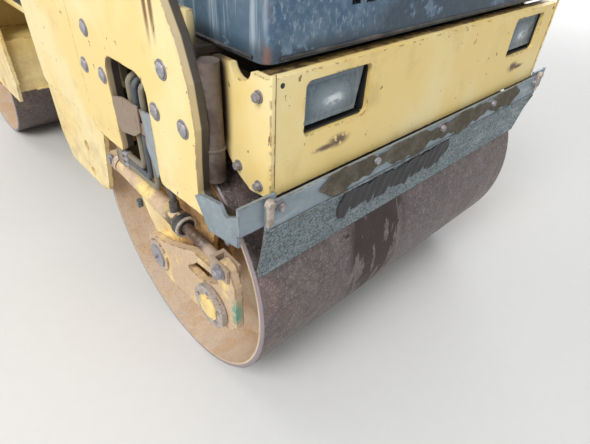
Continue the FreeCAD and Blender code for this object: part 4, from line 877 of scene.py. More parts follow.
class ROLLER_OT_finishes(bpy.types.Operator):
    """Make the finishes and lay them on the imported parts"""
    bl_idname = "roller.finishes"
    bl_label = "Finishes"

    def execute(self, context):
        c = context.scene.roller_colours
        M.update(yellow=yellow_enamel(c, "yellow_enamel"),
                 plate=yellow_enamel(c, "plate_enamel", True), hood=hood_enamel(c), drum=drum_steel(c),
                 soiled=soiled_enamel(c), galvanised=galvanised_steel(c), zinc=zinc_plate(c),
                 machined=machined_steel(c), chrome=tarnished_chrome(c), rubber=moulded_rubber(c, "dusty_rubber"),
                 strip=moulded_rubber(c, "wet_rubber", 0.12),
                 hose=hose_cover(c, "hose_cover_black", "#2c2b2b"),
                 hose_tan=hose_cover(c, "hose_cover_tan", "#7d7460"),
                 hose_blue=hose_cover(c, "hose_cover_blue", "#3f4750"),
                 plastic=moulded_black(c, "moulded_black"), dark=dark_enamel(c), engine=engine_casting(c),
                 tank=tank_plastic(c), vinyl=seat_vinyl(c),
                 lens=pressed_glass(c, "headlight_glass", "#71858f", "#aebcc3", 0.25),
                 red=pressed_glass(c, "red_lens", "#a3141a", "#c8323a", 0.35),
                 gauge=pressed_glass(c, "gauge_glass", "#d5dde0", "#d5dde0", 0.9),
                 well=moulded_black(c, "black_lamp_well", 0.05), nylon=aged_nylon(c),
                 reflector=reflector(c),
                 rust=rusted_steel(c), worn=worn_enamel(c), hung=hung_steel(c), mud=dried_mud(c),
                 brown=hose_cover(c, "brown_rubber", "#4a3a34"), floor=pale_floor(c))
        for key, nodes in ON_NODES.items():
            for name in nodes:
                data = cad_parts[name].data
                data.materials.clear()
                data.materials.append(M[key])
        return {"FINISHED"}


# Fasteners

def hex_bolt(across, washer=1.25):
    """A hex head on its washer, standing on z = 0, sizes in mm."""
    plate = drum_bar("washer", (0, 0, -0.5), (0, 0, across * 0.16), across * washer * 0.62, 24)
    rounded(plate, across * 0.03, 1)
    head = drum_bar("head", (0, 0, across * 0.16), (0, 0, across * 0.72), across * 0.577, 6)
    top = across * 0.72 / 1000
    work(head, ("FACE", lambda f: f.normal.z > 0.9 and f.calc_center_median().z > top * 0.98,
                lambda: bpy.ops.mesh.inset(thickness=across * 0.06 / 1000, depth=across * 0.04 / 1000)))
    return join("hex_bolt", [plate, head])


def pan_bolt(radius):
    """A low pan head on a broad washer, with a centre punch mark."""
    seat = drum_bar("seat", (0, 0, -0.5), (0, 0, radius * 0.1), radius * 1.1, 28, radius * 1.02)
    clear()
    bpy.ops.mesh.primitive_uv_sphere_add(segments=28, ring_count=14, radius=radius * 0.86 / 1000)
    head = baked("head")
    work(head,
         ("FACE", lambda f: True,
          lambda: bpy.ops.mesh.bisect(plane_co=(0, 0, 0), plane_no=(0, 0, 1), clear_inner=True,
                                      use_fill=True)),
         ("FACE", lambda f: True, lambda: bpy.ops.transform.resize(value=(1, 1, 0.5), center_override=(0, 0, 0))),
         ("FACE", lambda f: True,
          lambda: bpy.ops.mesh.bisect(plane_co=(0, 0, radius * 0.37 / 1000), plane_no=(0, 0, 1),
                                      clear_outer=True, use_fill=True)),
         ("FACE", lambda f: f.normal.z > 0.95 and len(f.verts) > 8,
          lambda: bpy.ops.mesh.inset(thickness=radius * 0.2 / 1000, depth=radius * 0.03 / 1000)),
         ("FACE", lambda f: f.normal.z > 0.95 and len(f.verts) > 8,
          lambda: bpy.ops.mesh.inset(thickness=radius * 0.12 / 1000,
                                     depth=-radius * 0.08 / 1000)))
    return join("pan_bolt", [seat, head])


def carriers_bolts():
    """Where the carriers' and webs' bolts stand: x, y', z of one side, mm."""
    spots = [(-482, -228, 494), (-482, 150, 555), (-482, -150, 555), (-482, 0, 250)]
    spots += [(-482, 100 * math.cos(math.radians(a)), 350 + 100 * math.sin(math.radians(a)))
              for a in (30, 90, 210, 270, 330)]      # the cylinder swings over the sixth
    return spots


class ROLLER_OT_fasteners(bpy.types.Operator):
    """Bolts of the side plates, wings, carriers, scrapers, rails and posts"""
    bl_idname = "roller.fasteners"
    bl_label = "Fasteners"

    def execute(self, context):
        s = context.scene.roller_sizes
        chance = random.Random(s.seed)
        small = s.bolt_across * 1000

        def both_sides(end, spots):
            return [facing(at(end, side * abs(x), y, z), (side, 0, 0), chance.uniform(0, 1))
                    for side in (-1, 1) for x, y, z in spots]

        for end in (FRONT, REAR):
            sets = [
                ("plate_bolts", pan_bolt(s.dome_radius * 1000), module(end),
                 both_sides(end, [(FACE, y, z) for y, z in PLATE_BOLTS])),
                ("wing_bolts", hex_bolt(small), module(end),
                 both_sides(end, [(WING, y, z) for y, z in WING_BOLTS])),
                ("carrier_bolts", hex_bolt(15), module(end),
                 both_sides(end, [p for p in carriers_bolts() if p[1] > -200 or end == FRONT])),
                ("scraper_studs", hex_bolt(13), module(end),
                 [facing(at(end, x, AXLE - LEAF, 640), (0, end, 0), chance.uniform(0, 1))
                  for x in (-468, -228, 0, 228, 468)]),
                ("drum_plugs", hex_bolt(30), word(end) + "_roller",
                 [facing(at(end, side * 380, 215, 350), (side, 0, 0)) for side in (-1, 1)])]
            for name, model, body, places in sets:
                settle(spread(model, "%s_%s" % (word(end), name), places), body, M["zinc"])
        feet = [(side * x, y + dy, 698) for side in (-1, 1) for y in (60, 400)
                for x in (408, 442) for dy in (-18, 18)]
        settle(spread(hex_bolt(9), "rail_bolts", [facing(p, (0, 0, 1)) for p in feet]),
               "rear_module", M["zinc"])
        posts = [facing((side * 473 + dx, 740 + dy, 858), (0, 0, 1))
                 for side in (-1, 1) for dx in (-22, 22) for dy in (-46, 46)]
        settle(spread(hex_bolt(13), "post_bolts", posts), "rear_module", M["zinc"])
        return {"FINISHED"}


# Bumpers, lamps and scrapers

class ROLLER_OT_lamps(bpy.types.Operator):
    """Fluted lenses and bowls of the four lamps"""
    bl_idname = "roller.lamps"
    bl_label = "Lamps"

    def execute(self, context):
        s = context.scene.roller_sizes
        pitch = s.flute_pitch * 1000
        for end, old, key in ((FRONT, "headlight_lenses", "lens"), (REAR, "rear_lamp_lenses", "red")):
            glasses, bowls = [], []
            for side in (-1, 1):
                low, high = sorted((side * 266, side * 404))
                face = 1176 * end
                # The glass: a thin plate, its inner lower corner drawn in, flutes on its back.
                pane = block("pane", (low + 1, min(face, face - 5 * end), 747),
                             (high - 1, max(face, face - 5 * end), 820))
                for v in pane.data.vertices:
                    if abs(v.co.x) < 0.3 and v.co.z < 0.78:
                        v.co.x += math.copysign(0.013, v.co.x)
                rounded(pane, 2.2, 3)
                lines = []
                wide = int((high - low - 44) / (pitch * 2.5))
                for i in range(wide):
                    x = (low if side < 0 else low + 14) + 17 + i * pitch * 2.5
                    flute = drum_bar("flute", (x, face, 757), (x, face, 811), pitch * 0.9, 12)
                    work(flute, ("FACE", lambda f: True, lambda: bpy.ops.transform.resize(
                        value=(1, 0.12, 1), center_override=(x / 1000, face / 1000, 0.781))))
                    lines.append(flute)
                clear()
                bpy.ops.mesh.primitive_uv_sphere_add(
                    segments=40, ring_count=20, radius=1, scale=(0.042, 0.0022, 0.026),
                    location=(side * 0.334, face / 1000, 0.783))
                lines.append(baked("crown"))
                glasses += [pane] + lines
                # The bowl behind it: a ball squashed into the housing, open to the front.
                clear()
                bpy.ops.mesh.primitive_uv_sphere_add(
                    segments=32, ring_count=16, radius=1, scale=(0.065, 0.040, 0.037),
                    location=((low + high) / 2000, (1170 * end) / 1000, 0.783))
                bowl = baked("bowl")
                work(bowl, ("FACE", lambda f: True, lambda: bpy.ops.mesh.bisect(
                    plane_co=(0, 1.168 * end, 0), plane_no=(0, end, 0), clear_outer=True)))
                apply(bowl, "SOLIDIFY", thickness=0.0015, offset=0)
                bowls.append(bowl)
            glass = join(word(end) + "_lamp_glass", glasses)
            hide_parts(old)
            settle(glass, module(end), M[key])
            settle(join(word(end) + "_lamp_bowls", bowls), module(end), M["reflector"])
        return {"FINISHED"}


class ROLLER_OT_scraper_strips(bpy.types.Operator):
    """Rubber hung on the scrapers, a band of dried mud, their lips and corner stops"""
    bl_idname = "roller.scraper_strips"
    bl_label = "Scraper strips"

    def execute(self, context):
        for end in (FRONT, REAR):
            def leaf(z, u):
                """The y of a scraper's face: upright above the bend, then in to the drum."""
                fold = 0.0012 * math.sin(u * 95) + 0.0008 * math.sin(u * 37)
                drop = max(0.0, 0.600 - z)
                return (LEAF / 1000 + 0.0022 - drop * 0.2 + fold * (drop > 0)) * end

            left, right = sorted((-0.318 * -end, 0.07 * -end))
            strip = ragged(word(end) + "_scraper_rubber", left, right, 0.531, 0.594, leaf,
                           0.006, 0.003)
            settle(strip, module(end), M["strip"], 60)
            left, right = sorted((-0.38 * -end, 0.385 * -end))
            band_of = ragged(word(end) + "_scraper_mud", left, right, 0.613, 0.650, leaf,
                             0.007, 0.0022, 130)
            settle(band_of, module(end), M["mud"], 60)
            parts = [("tube", [at(end, x, -354.2, 600.5) for x in (-492, -160, 160, 492)], 2.2)]
            for side in (-1, 1):
                parts.append(("tube", [at(end, side * 496, -355, 598), at(end, side * 495, -340, 545),
                                       at(end, side * 495, -327, 490)], 2.4))
            fit(word(end) + "_scraper_lip", module(end), "galvanised", parts)
            stops = []
            for side in (-1, 1):
                stops += [("slab", at(end, side * 499, -352, 612), at(end, side * 484, -359, 664), 3),
                          ("bar", at(end, side * 492, -352, 656), at(end, side * 492, -363, 656),
                           8.5, 20, 6.5)]
            fit(word(end) + "_scraper_stops", module(end), "nylon", stops, 50)
        return {"FINISHED"}


# The hose slot

class ROLLER_OT_hoses(bpy.types.Operator):
    """Hydraulic hoses in the slot and their ferrules"""
    bl_idname = "roller.hoses"
    bl_label = "Hoses"

    def execute(self, context):
        radius = context.scene.roller_sizes.hose_radius * 1000
        finishes = (M["hose_tan"], M["hose_blue"], M["hose_tan"])
        ends = []
        for i, (y, z) in enumerate(((-895, 534), (-870, 548), (-845, 562))):
            bulge = (3, 4.5, 2)[i]
            route = [(-473, y, 764), (-527.5, y, 764), (-527.5 - bulge, y, 728),
                     (-527.5, y, 668), (-527.5, y, 628), (-527.5, y, z + 4),
                     (-527.5, y + 24, z), (-527.5, -742, z)]
            hose = tube("cutter_hose_%d" % (i + 1), route, radius)
            settle(hose, "front_module", finishes[i], 0)
            if i == 0:
                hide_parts("cutter_hoses")
            for a, b in (((-527.5, -772, z), (-527.5, -741, z)),):
                sleeve = drum_bar("sleeve", a, b, radius * 1.35, 20)
                work(sleeve, ("EDGE", lambda e: abs((e.verts[0].co - e.verts[1].co).y) > 0.02,
                              lambda: bpy.ops.mesh.subdivide(number_cuts=5)))
                rounded(sleeve, 1.2, 2)
                nut = drum_bar("nut", (a[0], b[1] - 4, z), (a[0], b[1] + 3, z), radius * 1.6, 6)
                rounded(nut, 0.8, 1)
                ends += [sleeve, nut]
        settle(join("hose_ferrules", ends), "front_module", M["zinc"])
        return {"FINISHED"}


def along_rod(distance, out=0.0, lift=0.0):
    """A point on the cutter cylinder's line, at a distance from its base pin, mm."""
    return (-517 - out, -660 - 0.99699 * distance + 0.07754 * lift,
            500 - 0.07754 * distance + 0.99699 * lift)


class ROLLER_OT_cutter(bpy.types.Operator):
    """Pin heads, glands, fittings and the hub's middle on the edge cutter"""
    bl_idname = "roller.cutter"
    bl_label = "Edge cutter"

    def execute(self, context):
        line = Vector(along_rod(1)) - Vector(along_rod(0))
        fit("cutter_end_cap", "cutter_barrel", "machined", [
            ("bar", along_rod(20), along_rod(27), 23.5, 32)])
        fit("cutter_gland_ring", "cutter_barrel", "nylon", [
            ("ring", along_rod(309), line, 22, 3.4)])
        fit("cutter_wiper", "cutter_barrel", "rubber", [
            ("bar", along_rod(292), along_rod(308), 24.8, 36), ("ring", along_rod(308), line, 16, 4)])
        fit("window_backing", "cutter_arm", "rust", [
            ("slab", (-499, -1045, 378), (-501, -955, 440), 1)])
        fit("cutter_ports", "cutter_barrel", "dark", [
            part for d in (40, 272) for part in (
                ("bar", along_rod(d, 0, 18), along_rod(d, 0, 30), 11, 20),
                ("bar", along_rod(d, 0, 30), along_rod(d, 0, 41), 10.5, 6),
                ("tube", [along_rod(d, 0, 38), along_rod(d, 0, 52), along_rod(d - 18, -4, 58),
                          along_rod(d - 40, -6, 56)], 7))])
        fit("base_pin_head", "front_module", "zinc", [
            ("bar", (-531, -660, 500), (-535, -660, 500), 17), ("slab", (-535, -664, 492),
                                                                (-538, -656, 508), 1)])
        fit("rod_pin_head", "cutter_arm", "zinc", [
            ("bar", (-533.4, -1110, 465), (-536, -1110, 465), 17), ("bar", (-536, -1110, 465),
                                                                  (-545, -1110, 465), 12.5, 32),
            ("bar", (-545, -1110, 465), (-548, -1110, 465), 9, 32, 6)])
        fit("pivot_nipple", "cutter_arm", "zinc", [
            ("bar", (-530, -825, 305), (-534, -825, 305), 30, 40),
            ("bar", (-534, -825, 305), (-541, -825, 305), 5, 6)])
        fit("hub_middle", "cutter_hub", "yellow", [
            ("bar", (-540, -1064, 330), (-543, -1064, 330), 31, 40),
            ("bar", (-543, -1064, 330), (-545.5, -1064, 330), 27, 40, 24)])
        fit("cutter_post", "front_module", "brown", [
            ("bar", (-499, -1070, 639), (-499, -1070, 841), 17.8, 32),
            ("ring", (-499, -1070, 700), (0, 0, 1), 18, 2.5)])
        # Painted shade: flat black discs stand for the bumper face's holes.
        fit("face_hole_shade", "front_module", "plastic", [
            ("bar", (side * 456, -1186, 829), (side * 456, -1187.3, 829), 4, 20)
            for side in (-1, 1)])
        for end in (FRONT, REAR):
            fit(word(end) + "_face_edges", module(end), "yellow", [
                ("slab", at(end, side * 477, -336, 664), at(end, side * 469, -338.4, 846), 1)
                for side in (-1, 1)])
            fit(word(end) + "_face_seams", module(end), "rust", [
                ("slab", at(end, side * 469, -336, 664), at(end, side * 467, -337.3, 846), 0.3)
                for side in (-1, 1)])
        fit("drum_end_bars", "front_module", "galvanised", [
            ("slab", (side * 484, y, z), (side * 470, y + 14, z + 24), 2)
            for side in (-1, 1) for y, z in ((-640, 322), (-744, 262))])
        return {"FINISHED"}


# The hood

def hood_top(x, y, lift=0.0):
    """A point on the hood's sloping top, mm."""
    return (x, y - 0.232 * lift, 1230 - (-450 - y) * 0.2388 + 0.973 * lift)


class ROLLER_OT_hood_trim(bpy.types.Operator):
    """Latches, seals, handle, grille mesh and hinge bolts of the hood"""
    bl_idname = "roller.hood_trim"
    bl_label = "Hood trim"

    def execute(self, context):
        body = "engine_hood"
        fit("hood_seal", body, "rubber", [
            ("tube", [(side * 466.5, -1135, 855), (side * 466.5, -900, 855),
                      (side * 466.5, -460, 855)], 3.2) for side in (-1, 1)] + [
            ("tube", [(-440, -1162.5, 855), (0, -1162.5, 855), (440, -1162.5, 855)], 3.2)], 0)
        latches = []
        for side in (-1, 1):
            for y in (-700, -520):
                latches += [("slab", (side * 465, y - 17, 905), (side * 471, y + 17, 945), 2),
                            ("slab", (side * 470, y - 9, 868), (side * 478, y + 9, 930), 3),
                            ("bar", (side * 474, y - 24, 872), (side * 474, y + 24, 872), 6, 20),
                            ("slab", (side * 465, y - 20, 859), (side * 468, y + 20, 884), 1)]
        fit("hood_latches", body, "rubber", latches)
        fit("hood_handle", body, "plastic", [
            ("tube", [hood_top(-90, -1080, -2), hood_top(-90, -1080, 32), hood_top(-60, -1080, 40),
                      hood_top(60, -1080, 40), hood_top(90, -1080, 32), hood_top(90, -1080, -2)], 9),
            ("bar", hood_top(-90, -1080, -1), hood_top(-90, -1080, 3), 17),
            ("bar", hood_top(90, -1080, -1), hood_top(90, -1080, 3), 17)])
        fit("grille_mesh", body, "plastic", [
            ("bar", (x, -1156, 900), (x, -1156, 975), 1.1, 6) for x in range(-312, 313, 8)] + [
            ("bar", (-316, -1155, z), (316, -1155, z), 1.1, 6) for z in range(902, 976, 8)])
        spots = [facing(hood_top(side * x, y), (0, -0.232, 0.973)) for side in (-1, 1)
                 for x in (334, 350) for y in (-478, -500)]
        settle(spread(hex_bolt(11), "hood_hinge_bolts", spots), body, M["zinc"])
        hem = []
        for side in (-1, 1):
            hem.append(("tube", [hood_top(side * 444, -1090, 1), hood_top(side * 444, -760, 1),
                                 hood_top(side * 444, -452, 1)], 3))
        fit("hood_creases", body, "hood", hem, 0)
        return {"FINISHED"}


# Engine, joint and underside

class ROLLER_OT_machinery(bpy.types.Operator):
    """Engine covers and pipes, weld beads, pin caps and grease nipples"""
    bl_idname = "roller.machinery"
    bl_label = "Machinery"

    def execute(self, context):
        fit("engine_covers", "front_module", "dark", [
            ("slab", (-200, -1000, 1008), (120, -640, 1040), 12),
            ("bar", (-60, -1084, 900), (-60, -1100, 900), 120, 40),
            ("bar", (150, -1084, 830), (150, -1096, 830), 60, 32),
            ("bar", (200, -960, 1008), (200, -820, 1008), 36, 28),
            ("slab", (-282, -900, 800), (-292, -700, 900), 6)] + [
            ("slab", (-170 + i * 70, -980, 1038), (-160 + i * 70, -660, 1046), 3) for i in range(4)])
        fit("engine_belt", "front_module", "rubber", [
            ("ring", (-60, -1098, 900), (0, 1, 0), 118, 5, 48),
            ("tube", [(200, -820, 1008), (200, -780, 1008), (190, -700, 1020), (60, -650, 1032)],
             22)])
        bead = context.scene.roller_sizes.weld * 1000
        for end in (FRONT, REAR):
            seams = []
            for side in (-1, 1):
                seams += [[(side * 507, 402, 560), (side * 507, 402, 372)],
                          [(side * 516, 221, 727), (side * 516, 402, 727)],
                          [(side * 503, -190, 728), (side * 503, -90, 728)],
                          [(side * 503, 90, 728), (side * 503, 400, 728)],
                          [(side * 515, 150, 577), (side * 515, 400, 577), (side * 515, 640, 577)],
                          [(side * 465, -320, 727), (side * 465, -205, 727)],
                          [(side * 90, 598, 420), (side * 90, 598, 380)]]
            seams += [[(-450, 389, 714), (0, 389, 714), (450, 389, 714)],
                      [(-450, 598, 372), (-100, 598, 372)], [(100, 598, 372), (450, 598, 372)],
                      [(-440, -322, 728), (440, -322, 728)]]
            fit(word(end) + "_welds", module(end), "yellow", [
                ("tube", [at(end, *spot) for spot in seam], bead) for seam in seams])
        fit("housing_weld", "front_module", "yellow", [
            ("ring", (0, -251, 400), (0, 1, 0), 86, bead), ("ring", (0, -131, 400), (0, 1, 0), 80, 6)])
        fit("clevis_welds", "rear_module", "yellow", [
            ("tube", [(side * 76, 252, 282), (side * 76, 252, 518)], bead) for side in (-1, 1)] + [
            ("tube", [(-74, 252, z), (74, 252, z)], bead) for z in (521, 279)] + [
            ("tube", [(side * x, 447, 626), (side * x, 447, 679)], bead)
            for side in (-1, 1) for x in (169, 231)])
        fit("king_pin_caps", "rear_module", "dark", [
            ("slab", (-34, -34, 520.5), (34, 34, 529), 2), ("slab", (-34, -34, 279.5),
                                                          (34, 34, 271), 2)])
        nipples = [((0, 0, 529), (0, 0, 1)), ((0, -150, 487), (0, 0, 1)), ((-250, 400, 283), (0, 0, -1))]
        settle(spread(hex_bolt(9), "joint_nipples", [facing(*n) for n in (nipples[0], nipples[2])]),
               "rear_module", M["zinc"])
        caps = [facing((dx, dy, 529), (0, 0, 1)) for dx in (-24, 24) for dy in (-24, 24)]
        settle(spread(hex_bolt(13), "king_cap_bolts", caps), "rear_module", M["zinc"])
        fit("steering_glands", "steering_barrel", "machined", [
            ("ring", (-211, 197, 298), (83, -432, 0), 18, 3)])
        for end in (FRONT, REAR):
            nozzles = [part for i in range(5) for part in (
                ("bar", at(end, 440 * (i - 2) * 0.44, -215, 649), at(end, 440 * (i - 2) * 0.44,
                                                                    -215, 640), 9, 6),
                ("bar", at(end, 440 * (i - 2) * 0.44, -215, 640), at(end, 440 * (i - 2) * 0.44,
                                                                    -215, 634), 5, 12, 3))]
            fit(word(end) + "_spray_nozzles", module(end), "tank", nozzles)
        return {"FINISHED"}


# The operator's station

class ROLLER_OT_station(bpy.types.Operator):
    """Gauges, switches, lever boot, floor mat, tank fittings, rail feet and pins"""
    bl_idname = "roller.station"
    bl_label = "Operator's station"

    def execute(self, context):
        body = "rear_module"
        out = Vector((0, 0.664, 0.747))
        down = Vector((0, 0.747, -0.664))

        def dash(x, slide, lift):
            spot = Vector((x, -45, 1180)) + down * slide + out * lift
            return tuple(spot)

        fit("dash_panel", body, "plastic", [
            ("bar", dash(x, 0, -1), dash(x, 0, 3), r + 5, 40) for x, r in GAUGES] + [
            ("bar", dash(x, -30, -1), dash(x, -30, 5), 8, 20) for x in (-60, 60)])
        fit("gauge_rims", body, "chrome", [
            ("ring", dash(x, 0, 4), out, r + 2, 2.2) for x, r in GAUGES])
        fit("gauge_glasses", body, "gauge", [
            ("bar", dash(x, 0, 2), dash(x, 0, 4.5), r, 40) for x, r in GAUGES])
        switches = [block("rocker", (x - 9, -8, -5), (x + 9, 8, 6)) for x in (95, 119, 143, 167)]
        for rocker in switches:
            rounded(rocker, 2)
            rocker.data.transform(Matrix.Translation(Vector(dash(0, 34, 2)) / 1000)
                                  @ out.to_track_quat("Z", "Y").to_matrix().to_4x4())
        settle(join("dash_switches", switches), body, M["plastic"])
        fit("ignition_lock", body, "zinc", [
            ("bar", dash(-165, 30, -1), dash(-165, 30, 5), 12, 28),
            ("slab", (-167, -15, 1160), (-163, 5, 1182), 1)])
        fit("lever_boot", body, "rubber", [
            ("ring", (-220, -70, 1113 + i * 7), (0, 0, 1), 21 - i * 2.6, 4.2) for i in range(5)])
        fit("lever_knob", body, "plastic", [
            ("ring", (-220, -70, 1292), (0, 0, 1), 17, 6), ("ring", (-220, -70, 1334), (0, 0, 1),
                                                         13, 8)])
        fit("console_seams", body, "dark", [
            ("tube", [(side * 201, -135, 1050), (side * 201, -5, 1050)], 1.6) for side in (-1, 1)] + [
            ("slab", (-120, -1, 800), (120, 1.5, 1030), 1), ("bar", (-90, 1, 1010), (-90, 4, 1010), 6),
            ("bar", (90, 1, 1010), (90, 4, 1010), 6), ("bar", (-90, 1, 820), (-90, 4, 820), 6),
            ("bar", (90, 1, 820), (90, 4, 820), 6)])
        pitch = context.scene.roller_sizes.rib_pitch * 1000
        ribs = [("slab", (-392, 10, 691.5), (392, 430, 695), 1)]
        ribs += [("bar", (-384, 22 + i * pitch, 695), (384, 22 + i * pitch, 695), 3, 10)
                 for i in range(int(400 / pitch))]
        fit("floor_mat", body, "rubber", ribs)
        fit("platform_edge", body, "yellow", [
            ("slab", (side * 451, -90, 676), (side * 446, 436, 695), 1.5) for side in (-1, 1)])
        feet = [("slab", (side * 398, y - 27, 691.5), (side * 449, y + 27, 698), 2)
                for side in (-1, 1) for y in (60, 400)]
        feet += [("ring", (side * 428, y, 699), (0, 0, 1), 16, 3) for side in (-1, 1)
                 for y in (60, 400)]
        fit("rail_feet", body, "yellow", feet)
        fit("post_feet", body, "yellow", [
            ("slab", (side * 441, 680, 850), (side * 505, 800, 858), 2) for side in (-1, 1)])
        pins = []
        for side in (-1, 1):
            pins += [("bar", (side * 511, 740, 1262), (side * 519, 740, 1262), 15, 28),
                     ("ring", (side * 521, 740, 1250), (1, 0, 0), 14, 2),
                     ("bar", (side * 435, 740, 1262), (side * 427, 740, 1262), 14, 6)]
        fit("roll_bar_pins", body, "zinc", pins)
        cap = [("bar", (60 * math.cos(a) * 1.0, 930 + 60 * math.sin(a), 1033),
                (60 * math.cos(a), 930 + 60 * math.sin(a), 1056), 4.5, 10)
               for a in [i * math.tau / 20 for i in range(20)]]
        cap += [("ring", (0, 930, 1058), (0, 0, 1), 52, 4), ("slab", (-40, 922, 1056), (40, 938, 1066), 3)]
        fit("tank_cap_grip", body, "plastic", cap)
        fit("tank_collar", body, "tank", [("ring", (0, 930, 1031), (0, 0, 1), 72, 7, 48)])
        fit("cap_strap", body, "rubber", [
            ("tube", [(58, 930, 1048), (90, 940, 1052), (120, 960, 1040), (128, 975, 1032)], 3),
            ("bar", (128, 975, 1029), (128, 975, 1036), 8, 16)])
        fit("tank_ribs", body, "tank", [
            ("slab", (side * 434, y, 870), (side * 438, y + 26, 990), 3)
            for side in (-1, 1) for y in (520, 600, 880, 960)] + [
            ("slab", (x, 1147, 862), (x + 40, 1154, 940), 3) for x in (-300, -120, 80, 260)])
        fit("seat_slides", body, "dark", [
            ("slab", (side * 150, 520, 1062), (side * 120, 850, 1072), 2) for side in (-1, 1)] + [
            ("tube", [(-160, 512, 1066), (-60, 506, 1060), (60, 506, 1060), (160, 512, 1066)], 6)])
        belts = []
        for side in (-1, 1):
            belts += [("slab", (side * 232, 812, 1062), (side * 240, 838, 1120), 3),
                      ("slab", (side * 226, 806, 1112), (side * 246, 846, 1160), 5)]
        fit("belt_buckles", body, "plastic", belts)
        return {"FINISHED"}


# The operator's place

def swollen(name, low, high, crown, soft=True):
    """A cushion: a rounded block, remeshed and blown up by a cloth run, held to the crown."""
    inner_low = [a + crown * 600 for a in low]
    inner_high = [b - crown * 600 for b in high]
    piece = block(name, inner_low, inner_high)
    rounded(piece, 22, 4)
    apply(piece, "REMESH", mode="VOXEL", voxel_size=0.009)
    if soft:
        start = [v.co.copy() for v in piece.data.vertices]
        puff = piece.modifiers.new("Cloth", "CLOTH")
        puff.settings.use_pressure = True
        puff.settings.uniform_pressure_force = 4
        puff.settings.effector_weights.gravity = 0
        for step in range(1, 16):
            bpy.context.scene.frame_set(step)
        only(piece)
        bpy.ops.object.modifier_apply(modifier="Cloth")
        for v, old in zip(piece.data.vertices, start):
            shift = v.co - old
            if shift.length > crown:
                v.co = old + shift * (crown / shift.length)
    apply(piece, "SUBSURF", levels=1, render_levels=1)
    return piece


def seam(piece, axis, spots, depth, width, side, level):
    """Press sewn channels into one side of a cushion."""
    for v in piece.data.vertices:
        if (v.co[side[0]] - level) * side[1] < 0:
            continue
        for spot in spots:
            far = abs(v.co[axis] - spot) / width
            if far < 1:
                v.co[side[0]] -= side[1] * depth * (1 - far * far) ** 2


class ROLLER_OT_seat(bpy.types.Operator):
    """Seat cushion and backrest with sewn channels"""
    bl_idname = "roller.seat"
    bl_label = "Seat"

    def execute(self, context):
        crown = context.scene.roller_sizes.crown
        seat = swollen("seat_cushion", (-230, 432, 1071), (230, 858, 1160), crown)
        seam(seat, 0, (-0.12, 0.12), 0.010, 0.016, (2, 1), 1.13)
        seam(seat, 1, (0.50,), 0.007, 0.014, (2, 1), 1.13)
        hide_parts("seat")
        settle(seat, "rear_module", M["vinyl"], 80)
        rest = swollen("seat_backrest", (-221, 862, 1078), (221, 938, 1468), crown)
        for v in rest.data.vertices:
            v.co.y += (v.co.z - 1.07) * 0.15
        for height in (1.19, 1.29, 1.39):
            for v in rest.data.vertices:
                far = abs(v.co.z - height) / 0.015
                line = 0.90 + (v.co.z - 1.07) * 0.15
                if far < 1 and v.co.y < line:
                    v.co.y += 0.009 * (1 - far * far) ** 2
        settle(rest, "rear_module", M["vinyl"], 80)
        return {"FINISHED"}


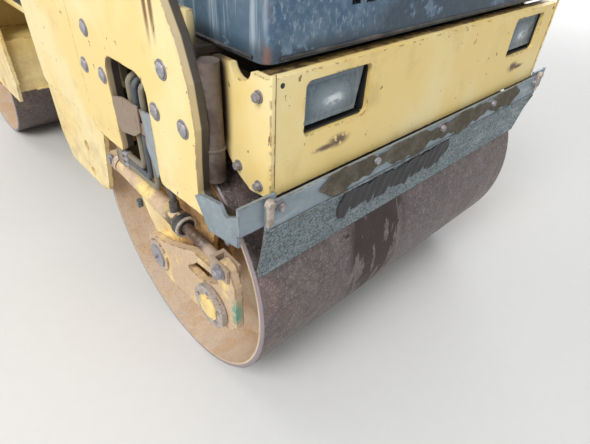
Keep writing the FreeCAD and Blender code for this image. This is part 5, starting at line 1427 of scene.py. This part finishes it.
class ROLLER_OT_stage(bpy.types.Operator):
    """Floor, soft lights, world and the camera at the photograph's place"""
    bl_idname = "roller.stage"
    bl_label = "Stage"

    def execute(self, context):
        scene = context.scene
        clear()
        bpy.ops.mesh.primitive_plane_add(size=60)
        floor = baked("floor")
        floor.data.materials.append(M["floor"])
        for name, place, power, size in (("key", (-4.2, -2.2, 5.0), 325, 3.0),
                                         ("front_fill", (1.5, -5.5, 3.5), 35, 4.0),
                                         ("left_fill", (5.0, 1.0, 4.0), 120, 4.0),
                                         ("back_fill", (-1.5, 5.5, 4.0), 130, 4.0)):
            lamp = bpy.data.lights.new(name, "AREA")
            lamp.energy = power
            lamp.size = size
            stand = bpy.data.objects.new(name, lamp)
            scene.collection.objects.link(stand)
            stand.location = place
            stand.rotation_euler = (Vector((0, 0, 0.7)) - Vector(place)).to_track_quat(
                "-Z", "Y").to_euler()
        world = bpy.data.worlds.new("studio")
        scene.world = world
        world.use_nodes = True
        tree = world.node_tree
        sky = tree.nodes["Background"]
        sky.inputs[0].default_value = (0.80, 0.86, 0.95, 1)
        sky.inputs[1].default_value = 0.46
        # What the camera and clear or shiny surfaces see behind the machine.
        plain = add(tree, "ShaderNodeBackground", None, {"Color": (1, 1, 1, 1)})
        path = add(tree, "ShaderNodeLightPath")
        seen = both(tree, path.outputs["Is Camera Ray"],
                    both(tree, path.outputs["Is Glossy Ray"],
                         path.outputs["Is Transmission Ray"], "MAXIMUM"), "MAXIMUM")
        mixed = add(tree, "ShaderNodeMixShader", None,
                    {0: seen, 1: sky.outputs[0], 2: plain.outputs[0]})
        tree.links.new(mixed.outputs[0], tree.nodes["World Output"].inputs[0])
        # Camera fitted to the plate's edges, the drum's rim and the bumper.
        right = Vector((0.73617, -0.67565, 0.04474))
        down = Vector((-0.39120, -0.47883, -0.78670))
        ahead = Vector((0.55262, 0.56115, -0.61568))
        eye = bpy.data.cameras.new("camera")
        eye.sensor_fit = "HORIZONTAL"
        eye.sensor_width = 36
        eye.lens = 432.29 / 590 * 36
        eye.clip_start = 0.05
        camera = bpy.data.objects.new("camera", eye)
        scene.collection.objects.link(camera)
        turn = Matrix((right, -down, -ahead)).transposed().to_4x4()
        camera.matrix_world = Matrix.Translation((-0.8427, -1.6188, 1.0474)) @ turn
        scene.camera = camera
        scene.view_settings.view_transform = "Standard"
        return {"FINISHED"}


OPERATORS = (ROLLER_OT_finishes, ROLLER_OT_fasteners, ROLLER_OT_lamps, ROLLER_OT_scraper_strips,
             ROLLER_OT_hoses, ROLLER_OT_cutter, ROLLER_OT_hood_trim, ROLLER_OT_machinery,
             ROLLER_OT_station, ROLLER_OT_seat, ROLLER_OT_stage)


class ROLLER_PT_panel(bpy.types.Panel):
    """Sizes, colours and steps of the roller"""
    bl_idname = "ROLLER_PT_panel"
    bl_label = "Tandem road roller"
    bl_space_type = "VIEW_3D"
    bl_region_type = "UI"
    bl_category = "Roller"

    def draw(self, context):
        for group in (context.scene.roller_sizes, context.scene.roller_colours):
            box = self.layout.box()
            for key in group.__annotations__:
                box.prop(group, key)
        for step in OPERATORS:
            self.layout.operator(step.bl_idname)


CLASSES = (RollerColours, RollerSizes) + OPERATORS + (ROLLER_PT_panel,)


def register():
    for item in CLASSES:
        bpy.utils.register_class(item)
    bpy.types.Scene.roller_sizes = PointerProperty(type=RollerSizes)
    bpy.types.Scene.roller_colours = PointerProperty(type=RollerColours)


def unregister():
    del bpy.types.Scene.roller_colours
    del bpy.types.Scene.roller_sizes
    for item in reversed(CLASSES):
        bpy.utils.unregister_class(item)


def main():
    register()
    for step in OPERATORS:
        group, name = step.bl_idname.split(".")
        getattr(getattr(bpy.ops, group), name)()


if __name__ == "__main__":
    main()
